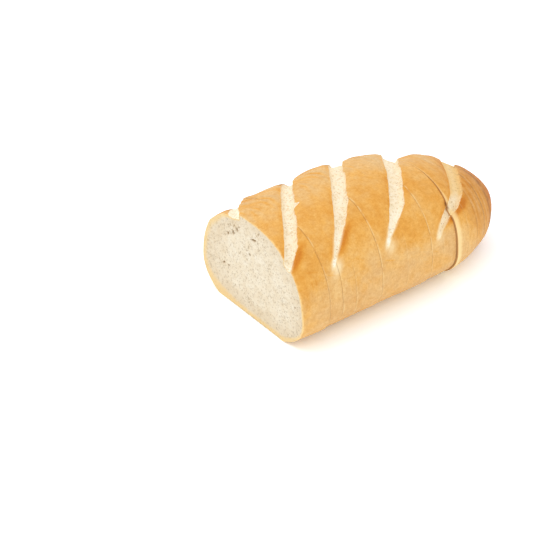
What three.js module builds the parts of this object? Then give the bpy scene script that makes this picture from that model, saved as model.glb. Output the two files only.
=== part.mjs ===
// A long white loaf with diagonal scores, cut into slices that still stand together.
// The first slice shows the open crumb, the last piece is the rounded heel.
// Millimetres, +Z up. X runs from the cut face to the heel, and the loaf rests on Z = 0.
// A point of the crust is given by its station along the loaf and its girth position,
// the arc length from the crown's ridge, positive towards -Y.

import * as THREE from "three";

// ---- The whole loaf ----
const LOAF_LENGTH = 216.4;
const HALF_WIDTH = 60.2;
const CROWN_HEIGHT = 87;
const WIDEST_STATION = 93;        // where the loaf is widest and tallest
const NOSE_HEIGHT = 32;           // height of the heel's tip

// ---- How the sizes fall off from the widest station ----
const NOSE_PLAN = [3.04, 1.98];   // powers of the rounded nose seen from above
const NOSE_CROWN = [1.3, 2.16];   // powers of the crown's fall seen from the side
const NOSE_BASE = [20, 1.76];     // powers of the base's lift under the nose
const BUTT_TAPER_REACH = 89.6;
const BUTT_PLAN_TAPER = 0.027;    // share of the width lost towards the cut face
const BUTT_CROWN_TAPER = 0.115;

// ---- The cross-section, two superellipse halves on a flat base ----
const UPPER_POWER = 2.13;
// waist: height of the widest point over the section's height; lower: power of the lower
// half; overshoot: how far the lower half would reach past the base that cuts it level.
const BODY_SECTION = { waist: 0.324, lower: 2.24, overshoot: 1.19 };
const NOSE_SECTION = { waist: 0.7, lower: 2.14, overshoot: 1.1 };
const NOSE_SECTION_POWER = 2.7;   // how late the section turns from the one to the other
const SECTION_STEPS = 180;

// ---- Where the crust stands out a little: height, and where it sets in and is full ----
const BUTT_SWELL = { height: 2, stations: [26, 2], girths: [-38, -60] };
const NOSE_SWELL = { height: 1.2, stations: [168, 200], girths: [4, 26] };

// ---- Slices ----
const SLICE_COUNT = 16;
const SLICE_PITCH = 12;
const SAW_GAP = 0.3;
const OPEN_GAP = 2.8;             // the one gap where the slices have come apart
const OPEN_AFTER = 12;
// Sideways shift of each run of slices, as they settled after cutting.
const SHIFTS = [
  { from: 1, side: -1.4 },
  { from: 3, side: 0 },
  { from: 7, side: 0.5 },
  { from: 11, side: 1.2 },
  { from: 13, side: -0.8 },
  { from: 15, side: 0 },
];

// ---- Scores: diagonal slashes that opened in the oven ----
// lip: station of the left edge on the ridge; width: of the torn floor, along the loaf;
// depth: of the floor; full: girth up to which it keeps its width; near, far: girth where it
// ends on each side, and past FAR_FULL_SHARE of far it narrows there too; slant: run per
// girth; walls: length of the left and the right wall; hook: how far the near end bends
// forward; flare and lean: how much wider the far side is, and how far its left edge leans
// back; slump: how far the crust behind it sinks on the far side, and over what reach.
const PLAIN_SCORE = {
  slant: 0.69, walls: [2.4, 1.6], hook: 0, flare: 0, lean: 0, slump: 0, slumpReach: 13,
};
const SCORES = [
  { lip: -20.6, width: 10.5, depth: 4.8, full: 30, near: 57, far: -74, walls: [9.5, 1.2],
    slump: -2.4, slumpReach: 7 },
  { lip: 26.9, width: 11.2, depth: 4.9, full: 36, near: 60, far: -78 },
  { lip: 70.9, width: 13.4, depth: 4.2, full: 22, near: 60, far: -74, flare: -0.4 },
  { lip: 123.2, width: 13.4, depth: 4.4, full: 38, near: 63, far: -66, slant: 0.74,
    walls: [2.4, 4], flare: 2, lean: 2.5, slump: 2.8 },
  { lip: 180.3, width: 13.2, depth: 3, full: 44, near: 72, far: -36, hook: 9.8, flare: 3.5 },
].map((score) => ({ ...PLAIN_SCORE, ...score }));
const SCORE_CURVE = 0.001;        // the slashes straighten towards the sides
const HOOK_SPAN = [32, 62];       // the near end bends forward between these girths
const FLARE_SPAN = [-10, 20];     // the flare grows between these girths on the far side
const SLUMP_SPAN = [-72, -54];    // the slump sets in between these girths
const FAR_FULL_SHARE = 0.68;
const TAPER_POWER = 1.2;
const LEAST_WIDTH = 0.9;
const BROW_DEPTH = 1;             // how far the crust beside a score sinks
const BROW_REACH = 3.6;
const SHOULDER_REACH = 4;
const SHOULDER_POWER = 1.4;

// ---- Mesh fineness ----
const COLUMN_STEP = 5;
const SLICE_RINGS = 4;
const HEEL_RINGS = 12;
const NOSE_TIP_FLAT = 0.12;       // the heel's last ring stops this short of its tip
const RIM_MARGIN = 2;
const COLUMN_GAP = 0.5;           // least distance of two columns on a full ring
const SEARCH_REACH = 140;         // girth that no section exceeds
const HALVINGS = 30;

// ---- Colours ----
const CRUST_COLOUR = 0xe9b872;
const CRUST_ROUGHNESS = 0.62;

const { clamp, lerp, smoothstep } = THREE.MathUtils;
const falloff = (share, [inner, outer]) => (1 - share ** inner) ** (1 / outer);
const easeOut = (share) => 1 - (1 - clamp(share, 0, 1)) ** 2;

// A soft step over a span that may run either way, from 0 at its first end to 1.
const rise = (value, [first, last]) => smoothstep((value - first) / (last - first), 0, 1);

// How far a station lies towards the nose's tip, from 0 at the widest place to 1.
const noseShare = (station) =>
  clamp((station - WIDEST_STATION) / (LOAF_LENGTH - WIDEST_STATION), 0, 1);

// Half width, crown height, base height and section shape of the loaf at a station.
function girthSizes(station) {
  const nose = noseShare(station);
  const butt = Math.max(0, (WIDEST_STATION - station) / BUTT_TAPER_REACH) ** 2;
  const plan = falloff(nose, NOSE_PLAN) - BUTT_PLAN_TAPER * butt;
  const crown = falloff(nose, NOSE_CROWN) - BUTT_CROWN_TAPER * butt;
  const base = NOSE_HEIGHT * (1 - falloff(nose, NOSE_BASE));
  const top = NOSE_HEIGHT + (CROWN_HEIGHT - NOSE_HEIGHT) * crown;
  const turned = nose ** NOSE_SECTION_POWER;
  const shape = (key) => lerp(BODY_SECTION[key], NOSE_SECTION[key], turned);
  return {
    half: HALF_WIDTH * plan,
    top,
    base,
    waist: base + shape("waist") * (top - base),
    lower: shape("lower"),
    overshoot: shape("overshoot"),
  };
}

// Half a cross-section from the ridge down to the corner of the base, as points with
// their girth positions, so that a crust point is found by its arc length.
class Section {
  constructor(station) {
    const { half, top, base, waist, lower, overshoot } = girthSizes(station);
    this.points = [];
    for (let step = 0; step <= SECTION_STEPS; step += 1) {
      const angle = Math.PI / 2 - (step / SECTION_STEPS) * Math.PI;
      const [cos, sin] = [Math.cos(angle), Math.sin(angle)];
      const power = 2 / (sin >= 0 ? UPPER_POWER : lower);
      const reach = sin >= 0 ? top - waist : overshoot * (waist - base);
      const side = half * Math.abs(cos) ** power;
      const height = waist + Math.sign(sin) * reach * Math.abs(sin) ** power;
      if (height < base) {
        break;
      }
      this.points.push({ side, height, girth: 0 });
    }
    for (let i = 1; i < this.points.length; i += 1) {
      const [last, next] = [this.points[i - 1], this.points[i]];
      next.girth = last.girth + Math.hypot(next.side - last.side, next.height - last.height);
    }
    const corner = this.points[this.points.length - 1];
    corner.height = base;
    this.corner = corner.girth;
    this.base = base;
  }

  // The crust point at a girth position, moved outwards by relief, as [y, z].
  at(girth, relief) {
    const arc = Math.min(Math.abs(girth), this.corner);
    const found = this.points.findIndex((point) => point.girth >= arc);
    const index = Math.max(1, found);
    const [last, next] = [this.points[index - 1], this.points[index]];
    const share = (arc - last.girth) / (next.girth - last.girth);
    const along = new THREE.Vector2(next.side - last.side, next.height - last.height).normalize();
    const side = lerp(last.side, next.side, share) - along.y * relief;
    const height = lerp(last.height, next.height, share) + along.x * relief;
    return [-Math.sign(girth) * side, Math.max(height, this.base)];
  }
}

// How far a girth position lies on the flared far side, from 0 to 1.
const farShare = (girth) => smoothstep(-girth, ...FLARE_SPAN);

// Station of a score's left edge at a girth position.
function lipStation(score, girth) {
  const bend = score.hook * rise(girth, HOOK_SPAN);
  const lean = score.lean * farShare(girth);
  return score.lip - score.slant * girth + SCORE_CURVE * girth ** 2 - bend - lean;
}

// How open a score is at a girth position, from 0 past its ends to 1.
function openness(score, girth) {
  const towardsNear = (girth - score.full) / (score.near - score.full);
  const towardsFar = (girth / score.far - FAR_FULL_SHARE) / (1 - FAR_FULL_SHARE);
  const closed = clamp(Math.max(towardsNear, towardsFar), 0, 1);
  return 1 - closed ** TAPER_POWER;
}

// Width of a score's floor at a girth position, along the loaf.
function floorWidth(score, girth) {
  const full = score.width + score.flare * farShare(girth);
  return Math.max(full * openness(score, girth), LEAST_WIDTH);
}

// Height of the crust over the smooth loaf that one score makes at a point: the crust
// sinks a little towards both edges, and the floor lies between two short walls.
function scoreRelief(score, station, girth) {
  const width = floorWidth(score, girth);
  const across = station - lipStation(score, girth);
  const [leftWall, rightWall] = score.walls;
  const floor = easeOut(across / leftWall) * easeOut((width - across) / rightWall);
  const before = Math.exp(-((Math.min(across, 0) / BROW_REACH) ** 2));
  const beyond = Math.max(across - width, 0);
  const brow = BROW_DEPTH * before * Math.exp(-((beyond / SHOULDER_REACH) ** SHOULDER_POWER));
  const zone = farShare(girth) * rise(girth, SLUMP_SPAN) * rise(across, [0, width]);
  const slump = score.slump * zone * Math.exp(-((beyond / score.slumpReach) ** 2));
  return -Math.sqrt(openness(score, girth)) * (brow + (score.depth - BROW_DEPTH) * floor) - slump;
}

// Height of a swelling at a point.
const swellRelief = (swell, station, girth) =>
  swell.height * rise(station, swell.stations) * rise(girth, swell.girths);

function crustRelief(station, girth) {
  const swelling = swellRelief(BUTT_SWELL, station, girth)
    + swellRelief(NOSE_SWELL, station, girth);
  return SCORES.reduce((sum, score) => sum + scoreRelief(score, station, girth), swelling);
}

// Lines that run along a score: the share of its width and the lengths of brow, walls and
// shoulder that lead to each. The mesh columns follow them, so that the edges stay crisp.
const SCORE_LINES = [
  { share: 0, brow: -0.8, left: 0, right: 0, shoulder: 0 },
  { share: 0, brow: 0, left: 0, right: 0, shoulder: 0 },
  { share: 0, brow: 0, left: 0.5, right: 0, shoulder: 0 },
  { share: 0, brow: 0, left: 1, right: 0, shoulder: 0 },
  { share: 1, brow: 0, left: 0, right: -1, shoulder: 0 },
  { share: 1, brow: 0, left: 0, right: -0.4, shoulder: 0 },
  { share: 1, brow: 0, left: 0, right: 0, shoulder: 0 },
  { share: 1, brow: 0, left: 0, right: 0, shoulder: 0.9 },
];
const LIP_LINE = SCORE_LINES[1];

// How far a line runs past a score's left edge at a girth position.
function lineOffset(score, line, girth) {
  const [leftWall, rightWall] = score.walls;
  const walls = line.left * leftWall + line.right * rightWall;
  const outside = line.brow * BROW_REACH + line.shoulder * SHOULDER_REACH;
  return line.share * floorWidth(score, girth) + walls + outside;
}

// The girth position where such a line crosses a station, by halving.
function lineGirth(score, line, station) {
  let [high, low] = [-SEARCH_REACH, SEARCH_REACH];
  for (let turn = 0; turn < HALVINGS; turn += 1) {
    const girth = (high + low) / 2;
    if (lipStation(score, girth) + lineOffset(score, line, girth) > station) {
      high = girth;
    } else {
      low = girth;
    }
  }
  return (high + low) / 2;
}

// The score lines that cross a piece between two stations.
function linesAcross(start, end) {
  const middle = (start + end) / 2;
  const crosses = (score) => {
    const girth = lineGirth(score, LIP_LINE, middle);
    return girth > score.far - SLICE_PITCH && girth < score.near + SLICE_PITCH;
  };
  return SCORES.filter(crosses).flatMap((score) => SCORE_LINES.map((line) => ({ score, line })));
}

// Girth positions that a ring's columns have to meet: both base corners and the score lines.
function columnStops(section, station, lines) {
  const rim = section.corner - RIM_MARGIN;
  const keys = lines.map(({ score, line }) => clamp(lineGirth(score, line, station), -rim, rim));
  keys.sort((a, b) => a - b);
  return [-section.corner, ...keys, section.corner];
}

// How many columns lie between two stops, the same on every ring of a piece.
function columnCounts(start, end, lines) {
  const station = (start + end) / 2;
  const stops = columnStops(new Section(station), station, lines);
  return stops.slice(1).map((stop, i) => Math.max(1, Math.round((stop - stops[i]) / COLUMN_STEP)));
}

// Girth positions of a ring's columns, which stand closer on the small rings of the nose.
function columnGirths(section, station, lines, counts) {
  const stops = columnStops(section, station, lines);
  const girths = [stops[0]];
  for (let i = 1; i < stops.length; i += 1) {
    for (let part = 1; part <= counts[i - 1]; part += 1) {
      girths.push(lerp(stops[i - 1], stops[i], part / counts[i - 1]));
    }
  }
  const leastGap = COLUMN_GAP * (section.corner / (2 * HALF_WIDTH));
  for (let i = 1; i < girths.length; i += 1) {
    girths[i] = Math.max(girths[i], girths[i - 1] + leastGap);
  }
  const excess = girths[girths.length - 1] / section.corner;
  return excess > 1 ? girths.map((girth) => girth / excess) : girths;
}

// A closed piece of the loaf through rings at the given stations.
function pieceGeometry(stations) {
  const [start, end] = [stations[0], stations[stations.length - 1]];
  const lines = linesAcross(start, end);
  const counts = columnCounts(start, end, lines);
  const positions = [];
  let columns = 0;
  for (const station of stations) {
    const section = new Section(station);
    const girths = columnGirths(section, station, lines, counts);
    columns = girths.length;
    for (const girth of girths) {
      positions.push(station, ...section.at(girth, crustRelief(station, girth)));
    }
  }
  const faces = [];
  for (let ring = 0; ring + 1 < stations.length; ring += 1) {
    for (let column = 0; column < columns; column += 1) {
      const beside = (column + 1) % columns;
      const [a, b] = [ring * columns + column, ring * columns + beside];
      const [c, d] = [a + columns, b + columns];
      faces.push(a, b, c, b, d, c);
    }
  }
  capRing(positions, faces, 0, columns, start, false);
  capRing(positions, faces, (stations.length - 1) * columns, columns, end, true);
  const geometry = new THREE.BufferGeometry();
  geometry.setAttribute("position", new THREE.Float32BufferAttribute(positions, 3));
  geometry.setIndex(faces);
  geometry.computeVertexNormals();
  return geometry;
}

// Closes a flat ring with a fan round the middle of the section's waist.
function capRing(positions, faces, first, columns, station, facesHeel) {
  const hub = positions.length / 3;
  positions.push(station, 0, girthSizes(station).waist);
  for (let column = 0; column < columns; column += 1) {
    const [a, b] = [first + column, first + ((column + 1) % columns)];
    faces.push(hub, facesHeel ? a : b, facesHeel ? b : a);
  }
}

function crustMaterial() {
  return new THREE.MeshStandardMaterial({
    color: CRUST_COLOUR,
    roughness: CRUST_ROUGHNESS,
    metalness: 0,
  });
}

function sideShift(number) {
  return SHIFTS.findLast((shift) => number >= shift.from).side;
}

// First and last station of a slice, or of the heel, which is the piece after the slices.
function pieceSpan(number) {
  const opened = number > OPEN_AFTER ? OPEN_GAP - SAW_GAP : 0;
  const start = (number - 1) * SLICE_PITCH + opened;
  return [start, number > SLICE_COUNT ? LOAF_LENGTH : start + SLICE_PITCH - SAW_GAP];
}

// Each piece has settled onto the surface that the loaf rests on.
function addPiece(group, name, number, stations) {
  const mesh = new THREE.Mesh(pieceGeometry(stations), crustMaterial());
  mesh.name = name;
  mesh.position.set(0, sideShift(number), -girthSizes(stations[0]).base);
  group.add(mesh);
}

function evenStations([start, end], count) {
  return Array.from({ length: count }, (_, i) => lerp(start, end, i / (count - 1)));
}

// Stations that crowd towards the nose, where the heel curves most.
function noseStations([start, end], count) {
  const reach = end - start - NOSE_TIP_FLAT;
  return Array.from({ length: count }, (_, i) =>
    start + reach * Math.sin((Math.PI / 2) * (i / (count - 1))));
}

const loaf = new THREE.Group();
for (let number = 1; number <= SLICE_COUNT; number += 1) {
  const name = `slice_${String(number).padStart(2, "0")}`;
  addPiece(loaf, name, number, evenStations(pieceSpan(number), SLICE_RINGS));
}
addPiece(loaf, "heel", SLICE_COUNT + 1, noseStations(pieceSpan(SLICE_COUNT + 1), HEEL_RINGS));

// The origin is the middle of the loaf's outline on the surface it rests on.
const box = new THREE.Box3().setFromObject(loaf, true);
const middle = box.getCenter(new THREE.Vector3());
loaf.position.set(-middle.x, -middle.y, -box.min.z);

export default loaf;
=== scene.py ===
"""A long white loaf with diagonal scores, sliced and still standing together.

Every slice and the rounded heel is a mesh of its own: a crust with its open scores, a
flat base and two cut faces of open crumb. Sizes are in millimetres until a mesh is made.
A point of the crust is given by its station along the loaf, from the cut face, and its
girth, the arc length from the crown's ridge, positive towards -Y.
"""

import logging
import math
from dataclasses import dataclass, field
from enum import Enum, IntEnum

import bpy
import numpy as np
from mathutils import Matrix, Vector
from mathutils.geometry import delaunay_2d_cdt


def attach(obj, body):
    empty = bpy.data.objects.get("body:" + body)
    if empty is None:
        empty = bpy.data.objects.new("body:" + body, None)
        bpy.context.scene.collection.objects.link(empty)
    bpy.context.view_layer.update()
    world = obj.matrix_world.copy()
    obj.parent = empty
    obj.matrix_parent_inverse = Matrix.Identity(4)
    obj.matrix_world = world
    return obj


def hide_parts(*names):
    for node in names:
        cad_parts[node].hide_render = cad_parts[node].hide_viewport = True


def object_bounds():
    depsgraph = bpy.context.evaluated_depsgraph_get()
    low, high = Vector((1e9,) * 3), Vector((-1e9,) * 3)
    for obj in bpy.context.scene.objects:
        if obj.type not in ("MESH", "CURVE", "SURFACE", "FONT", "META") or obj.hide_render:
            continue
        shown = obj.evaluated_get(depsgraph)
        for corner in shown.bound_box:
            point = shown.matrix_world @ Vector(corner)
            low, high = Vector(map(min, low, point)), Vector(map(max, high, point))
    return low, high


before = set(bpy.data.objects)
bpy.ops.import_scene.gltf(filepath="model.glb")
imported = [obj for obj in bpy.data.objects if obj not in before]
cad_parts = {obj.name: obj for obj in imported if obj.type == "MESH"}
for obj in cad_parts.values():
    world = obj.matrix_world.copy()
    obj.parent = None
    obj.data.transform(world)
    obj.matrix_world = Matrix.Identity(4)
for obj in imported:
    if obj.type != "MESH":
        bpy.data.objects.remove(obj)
CAD_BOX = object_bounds()

LOG = logging.getLogger("loaf")
METRES = 0.001


class Finish(IntEnum):
    """Material slots of a slice."""

    CRUST = 0
    CRUMB = 1
    BASE = 2


class Cut(Enum):
    """How finely a cut face is meshed, as the spacing of its points."""

    OPEN = 0.55
    GAP = 1.6
    CLOSED = 3.2


# ---------------------------------------------------------------- shared mathematics


def smooth(low: float, high: float, value: np.ndarray) -> np.ndarray:
    """Return a soft step that rises from 0 at low to 1 at high.

    Args:
        low: Value where the step starts.
        high: Value where the step ends.
        value: Values to step.

    Returns:
        An array between 0 and 1.
    """
    share = np.clip((value - low) / (high - low), 0, 1)
    return share * share * (3 - 2 * share)


def falloff(share: np.ndarray, powers: tuple[float, float]) -> np.ndarray:
    """Return how much of a size is left at shares of the way to the nose's tip."""
    return (1 - share ** powers[0]) ** (1 / powers[1])


class Noise:
    """Seeded smooth noise over a plane, between about -1 and 1."""

    SIZE = 256

    def __init__(self, seed: int) -> None:
        """Draw the lattice for a seed."""
        self.table = np.random.default_rng(seed).uniform(-1, 1, (self.SIZE, self.SIZE))

    def cell(self, column: np.ndarray, row: np.ndarray) -> np.ndarray:
        """Return the lattice value of whole-numbered cells."""
        return self.table[column % self.SIZE, row % self.SIZE]

    def value(self, x: np.ndarray, y: np.ndarray) -> np.ndarray:
        """Return the noise at points.

        Args:
            x: First coordinates, one lattice cell to the unit.
            y: Second coordinates.

        Returns:
            One value per point.
        """
        x, y = np.broadcast_arrays(x, y)
        column, row = np.floor(x).astype(int), np.floor(y).astype(int)
        across, up = x - column, y - row
        across = across * across * across * (across * (across * 6 - 15) + 10)
        up = up * up * up * (up * (up * 6 - 15) + 10)
        low = self.cell(column, row) * (1 - across) + self.cell(column + 1, row) * across
        high = self.cell(column, row + 1) * (1 - across) + self.cell(column + 1, row + 1) * across
        return low * (1 - up) + high * up

    def layered(self, x: np.ndarray, y: np.ndarray, octaves: int = 3) -> np.ndarray:
        """Return noise with finer layers added.

        Args:
            x: First coordinates.
            y: Second coordinates.
            octaves: Number of layers, each half as high and twice as fine.

        Returns:
            One value per point.
        """
        total = np.zeros(np.broadcast(x, y).shape)
        for octave in range(octaves):
            scale = 2.0 ** octave
            total += self.value(x * scale + 17.3 * octave, y * scale - 9.1 * octave) / scale
        return total


class Hollows:
    """Seeded round hollows scattered over a plane, one or none to a square."""

    def __init__(self, seed: int) -> None:
        """Draw places, sizes, turns and presence for a seed."""
        self.draws = [Noise(seed + step) for step in range(6)]

    def depth(self, x: np.ndarray, y: np.ndarray, spacing: float, share: float,
              radius: tuple[float, float]) -> np.ndarray:
        """Return how deep each point lies in a hollow.

        Args:
            x: First coordinates in mm.
            y: Second coordinates in mm.
            spacing: Side of the squares in mm.
            share: Share of the squares that hold a hollow.
            radius: Smallest and largest radius in mm.

        Returns:
            Depth as a share of a hollow's radius times its radius, in mm.
        """
        column, row = np.floor(x / spacing).astype(int), np.floor(y / spacing).astype(int)
        deepest = np.zeros(x.shape)
        for step in range(9):
            i, j = column + step % 3 - 1, row + step // 3 - 1
            draw = [source.cell(i, j) for source in self.draws]
            away_x = x - (i + 0.5 + 0.4 * draw[0]) * spacing
            away_y = y - (j + 0.5 + 0.4 * draw[1]) * spacing
            size = radius[0] + (radius[1] - radius[0]) * (0.5 + 0.5 * draw[2]) ** 2
            turn = math.pi * draw[3]
            long = away_x * np.cos(turn) + away_y * np.sin(turn)
            wide = (away_y * np.cos(turn) - away_x * np.sin(turn)) * (1.15 + 0.4 * draw[4])
            inside = np.clip(1 - (long ** 2 + wide ** 2) / size ** 2, 0, 1)
            present = (0.5 + 0.5 * draw[5]) < share
            deepest = np.maximum(deepest, present * np.sqrt(inside) * size)
        return deepest


# ---------------------------------------------------------------- the loaf's form


@dataclass(frozen=True)
class SectionShape:
    """Proportions of a cross-section's lower half."""

    waist: float
    lower: float
    overshoot: float


@dataclass(frozen=True)
class LoafForm:
    """The smooth loaf under its scores, as cross-sections along its length."""

    length: float = 216.4
    half_width: float = 60.2
    crown: float = 87.0
    widest: float = 93.0
    nose_height: float = 32.0
    nose_plan: tuple[float, float] = (3.04, 1.98)
    nose_crown: tuple[float, float] = (1.3, 2.16)
    nose_base: tuple[float, float] = (20.0, 1.76)
    butt_reach: float = 89.6
    butt_plan: float = 0.027
    butt_crown: float = 0.115
    upper_power: float = 2.13
    body: SectionShape = SectionShape(0.324, 2.24, 1.19)
    nose: SectionShape = SectionShape(0.7, 2.14, 1.1)
    nose_turn: float = 2.7
    steps: int = 900

    def sizes(self, station: np.ndarray) -> dict[str, np.ndarray]:
        """Return the section sizes at stations.

        Args:
            station: Stations in mm.

        Returns:
            Half width, top, base, waist height, lower power and overshoot.
        """
        share = np.clip((station - self.widest) / (self.length - self.widest), 0, 1)
        butt = np.maximum(0, (self.widest - station) / self.butt_reach) ** 2

        plan = falloff(share, self.nose_plan) - self.butt_plan * butt
        rise = falloff(share, self.nose_crown) - self.butt_crown * butt
        base = self.nose_height * (1 - falloff(share, self.nose_base))
        top = self.nose_height + (self.crown - self.nose_height) * rise
        turned = share ** self.nose_turn
        shape = {name: getattr(self.body, name)
                 + (getattr(self.nose, name) - getattr(self.body, name)) * turned
                 for name in ("waist", "lower", "overshoot")}
        return {"half": self.half_width * plan, "top": top, "base": base,
                "waist": base + shape["waist"] * (top - base),
                "lower": shape["lower"], "overshoot": shape["overshoot"]}

    def slope(self, first: np.ndarray, second: np.ndarray, girth: np.ndarray) -> np.ndarray:
        """Return how much higher the smooth crust is at second stations than at first ones.

        Args:
            first: Stations in mm.
            second: Stations in mm, near the first.
            girth: Girths in mm.

        Returns:
            Height in mm, from the crown's fall near the ridge and the plan's on the sides.
        """
        before, after = self.sizes(first), self.sizes(second)
        beside = smooth(20, 70, np.abs(girth))
        return ((after["top"] - before["top"]) * (1 - beside)
                + (after["half"] - before["half"]) * beside)

    def sections(self, station: np.ndarray) -> "Sections":
        """Return the half sections at stations, from the ridge to the base's corner.

        Args:
            station: Stations in mm, one per section.

        Returns:
            The sections, ready to be asked for points.
        """
        size = {name: value[:, None] for name, value in self.sizes(station).items()}
        last = -np.arcsin((1 / size["overshoot"]) ** (size["lower"] / 2))
        share = np.linspace(0, 1, self.steps)[None, :]
        angle = math.pi / 2 + (last - math.pi / 2) * share
        up = np.sin(angle) >= 0
        power = 2 / np.where(up, self.upper_power, size["lower"])
        rise = np.where(up, size["top"] - size["waist"],
                        size["overshoot"] * (size["waist"] - size["base"]))
        side = size["half"] * np.abs(np.cos(angle)) ** power
        height = size["waist"] + np.sign(np.sin(angle)) * rise * np.abs(np.sin(angle)) ** power
        return Sections(station, side, height, size["base"][:, 0], size["waist"][:, 0])


class Sections:
    """Half sections of the loaf that give crust points by girth."""

    # How far to each side of a point the crust's direction is taken from, in mm.
    REACH = 0.8

    def __init__(self, station: np.ndarray, side: np.ndarray, height: np.ndarray,
                 base: np.ndarray, waist: np.ndarray) -> None:
        """Keep the sections and work out the girth of their points.

        Args:
            station: Stations in mm, one per section.
            side: Half widths along each section.
            height: Heights along each section.
            base: Base height of each section.
            waist: Waist height of each section.
        """
        self.station, self.side, self.height = station, side, height
        self.base, self.waist = base, waist
        run, drop = np.diff(side, axis=1), np.diff(height, axis=1)
        length = np.hypot(run, drop)
        self.girth = np.concatenate([np.zeros((len(side), 1)), np.cumsum(length, 1)], 1)
        self.corner = self.girth[:, -1]

    def place(self, girth: np.ndarray, relief: np.ndarray) -> tuple[np.ndarray, np.ndarray]:
        """Return crust points moved outwards.

        Args:
            girth: Girth positions, a row to a section.
            relief: Height over the smooth crust in mm.

        Returns:
            The y and z of the points, a row to a section.
        """
        y, z = np.empty(girth.shape), np.empty(girth.shape)
        for row in range(len(girth)):
            arc = np.abs(girth[row])
            table, sides, heights = self.girth[row], self.side[row], self.height[row]
            side, height = np.interp(arc, table, sides), np.interp(arc, table, heights)
            far = np.minimum(arc + self.REACH, table[-1])
            near = np.maximum(arc - self.REACH, 0)
            run = np.interp(far, table, sides) - np.interp(near, table, sides)
            drop = np.interp(far, table, heights) - np.interp(near, table, heights)
            length = np.hypot(run, drop)
            side = side - drop / length * relief[row]
            height = height + run / length * relief[row]
            y[row] = -np.where(girth[row] < 0, -1, 1) * side
            z[row] = np.maximum(height, self.base[row])
        return y, z


@dataclass(frozen=True)
class Score:
    """A diagonal slash that opened in the oven. Stations and girths are in mm."""

    number: int
    lip: float
    width: float
    depth: float
    full: float
    near: float
    far: float
    slant: float = 0.69
    walls: tuple[float, float] = (2.4, 1.6)
    hook: float = 0.0
    flare: float = 0.0
    lean: float = 0.0
    slump: float = 0.0
    slump_reach: float = 13.0
    nick: float = 0.0
    baked: float = 0.0
    far_gold: float = 0.0
    tip: float | None = None
    halo: float = 0.66
    scorch: tuple[float, float] = (38.0, 52.0)
    scorched: float = 1.0

    BROW = 1.0
    CURVE = 0.001
    HOOK_SPAN = (35.0, 63.0)
    FLARE_SPAN = (10.0, -20.0)
    FAR_FULL = 0.68
    TAPER = 1.2
    BROW_REACH = 3.6
    SHOULDER = 4.0
    SLUMP_SPAN = (-72.0, -54.0)
    LEAST = 0.9
    NICK_GIRTH = 4.5
    NICK_REACH = 1.5
    RAGGED = Noise(41)
    SKIN = Noise(43)

    def lip_station(self, girth: np.ndarray) -> np.ndarray:
        """Return the station of the left edge at girths, with its ragged line.

        Args:
            girth: Girths in mm.

        Returns:
            Stations in mm.
        """
        line = self.lip - self.slant * girth + self.CURVE * girth ** 2
        line = line - self.hook * smooth(*self.HOOK_SPAN, girth)
        line = line - self.lean * smooth(*self.FLARE_SPAN, girth)
        return line + 0.35 * self.RAGGED.layered(girth / 7.0, self.number * 7.7, 2)

    def openness(self, girth: np.ndarray) -> np.ndarray:
        """Return how open the score is at girths, from 0 past its ends to 1.

        Args:
            girth: Girths in mm.

        Returns:
            One value per girth.
        """
        towards_near = (girth - self.full) / (self.near - self.full)
        towards_far = (girth / self.far - self.FAR_FULL) / (1 - self.FAR_FULL)
        closed = np.clip(np.maximum(towards_near, towards_far), 0, 1)
        return 1 - closed ** self.TAPER

    def floor_width(self, girth: np.ndarray) -> np.ndarray:
        """Return the width of the pale floor at girths, measured along the loaf.

        Args:
            girth: Girths in mm.

        Returns:
            Widths in mm, never under the least one.
        """
        ragged = 0.9 * self.RAGGED.layered(girth / 9.0, self.number * 3.1 + 40, 3)
        full = self.width + self.flare * smooth(*self.FLARE_SPAN, girth)
        return np.maximum((full + ragged) * self.openness(girth), self.LEAST)

    def across(self, station: np.ndarray, girth: np.ndarray) -> np.ndarray:
        """Return the distance past the lip, measured along the loaf."""
        return station - self.lip_station(girth)

    def relief(self, station: np.ndarray, girth: np.ndarray) -> np.ndarray:
        """Return the height over the smooth loaf that the score makes.

        Args:
            station: Stations in mm.
            girth: Girths in mm.

        Returns:
            Height in mm, below zero in the score.
        """
        strength = np.sqrt(self.openness(girth))
        width = self.floor_width(girth)
        across = self.across(station, girth)
        left = 1 - (1 - np.clip(across / self.walls[0], 0, 1)) ** 2
        right = 1 - (1 - np.clip((width - across) / self.walls[1], 0, 1)) ** 2
        before = np.exp(-((np.minimum(across, 0) / self.BROW_REACH) ** 2))
        after = np.exp(-((np.maximum(across - width, 0) / self.SHOULDER) ** 1.4))
        shape = -self.BROW * before * after - (self.depth - self.BROW) * left * right
        inside = smooth(0.4, 1.8, across) * smooth(0.2, 1.8, width - across)
        torn = 0.30 * self.SKIN.layered(station / 3.1, girth / 4.6, 3)
        sunk = self.slump * smooth(*self.FLARE_SPAN, girth) * smooth(*self.SLUMP_SPAN, girth)
        sunk = sunk * smooth(0, width, across)
        sunk = sunk * np.exp(-((np.maximum(across - width, 0) / self.slump_reach) ** 2))
        return strength * (shape + inside * torn) - sunk

    def inside(self, station: np.ndarray, girth: np.ndarray) -> np.ndarray:
        """Return how far a point lies inside the pale floor, in mm, below zero outside.

        Args:
            station: Stations in mm.
            girth: Girths in mm.

        Returns:
            Distances in mm.
        """
        across = self.across(station, girth)
        torn = np.exp(-((girth - self.NICK_GIRTH) / self.NICK_REACH) ** 2)
        width = self.floor_width(girth) + self.nick * torn
        inside = np.where(self.openness(girth) > 0, np.minimum(across - 0.1, width - across), -6)
        tip = 1.5 - np.hypot((girth - self.near + 1.5) / 1.9, across - 0.8)
        return np.maximum(inside, tip)


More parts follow.
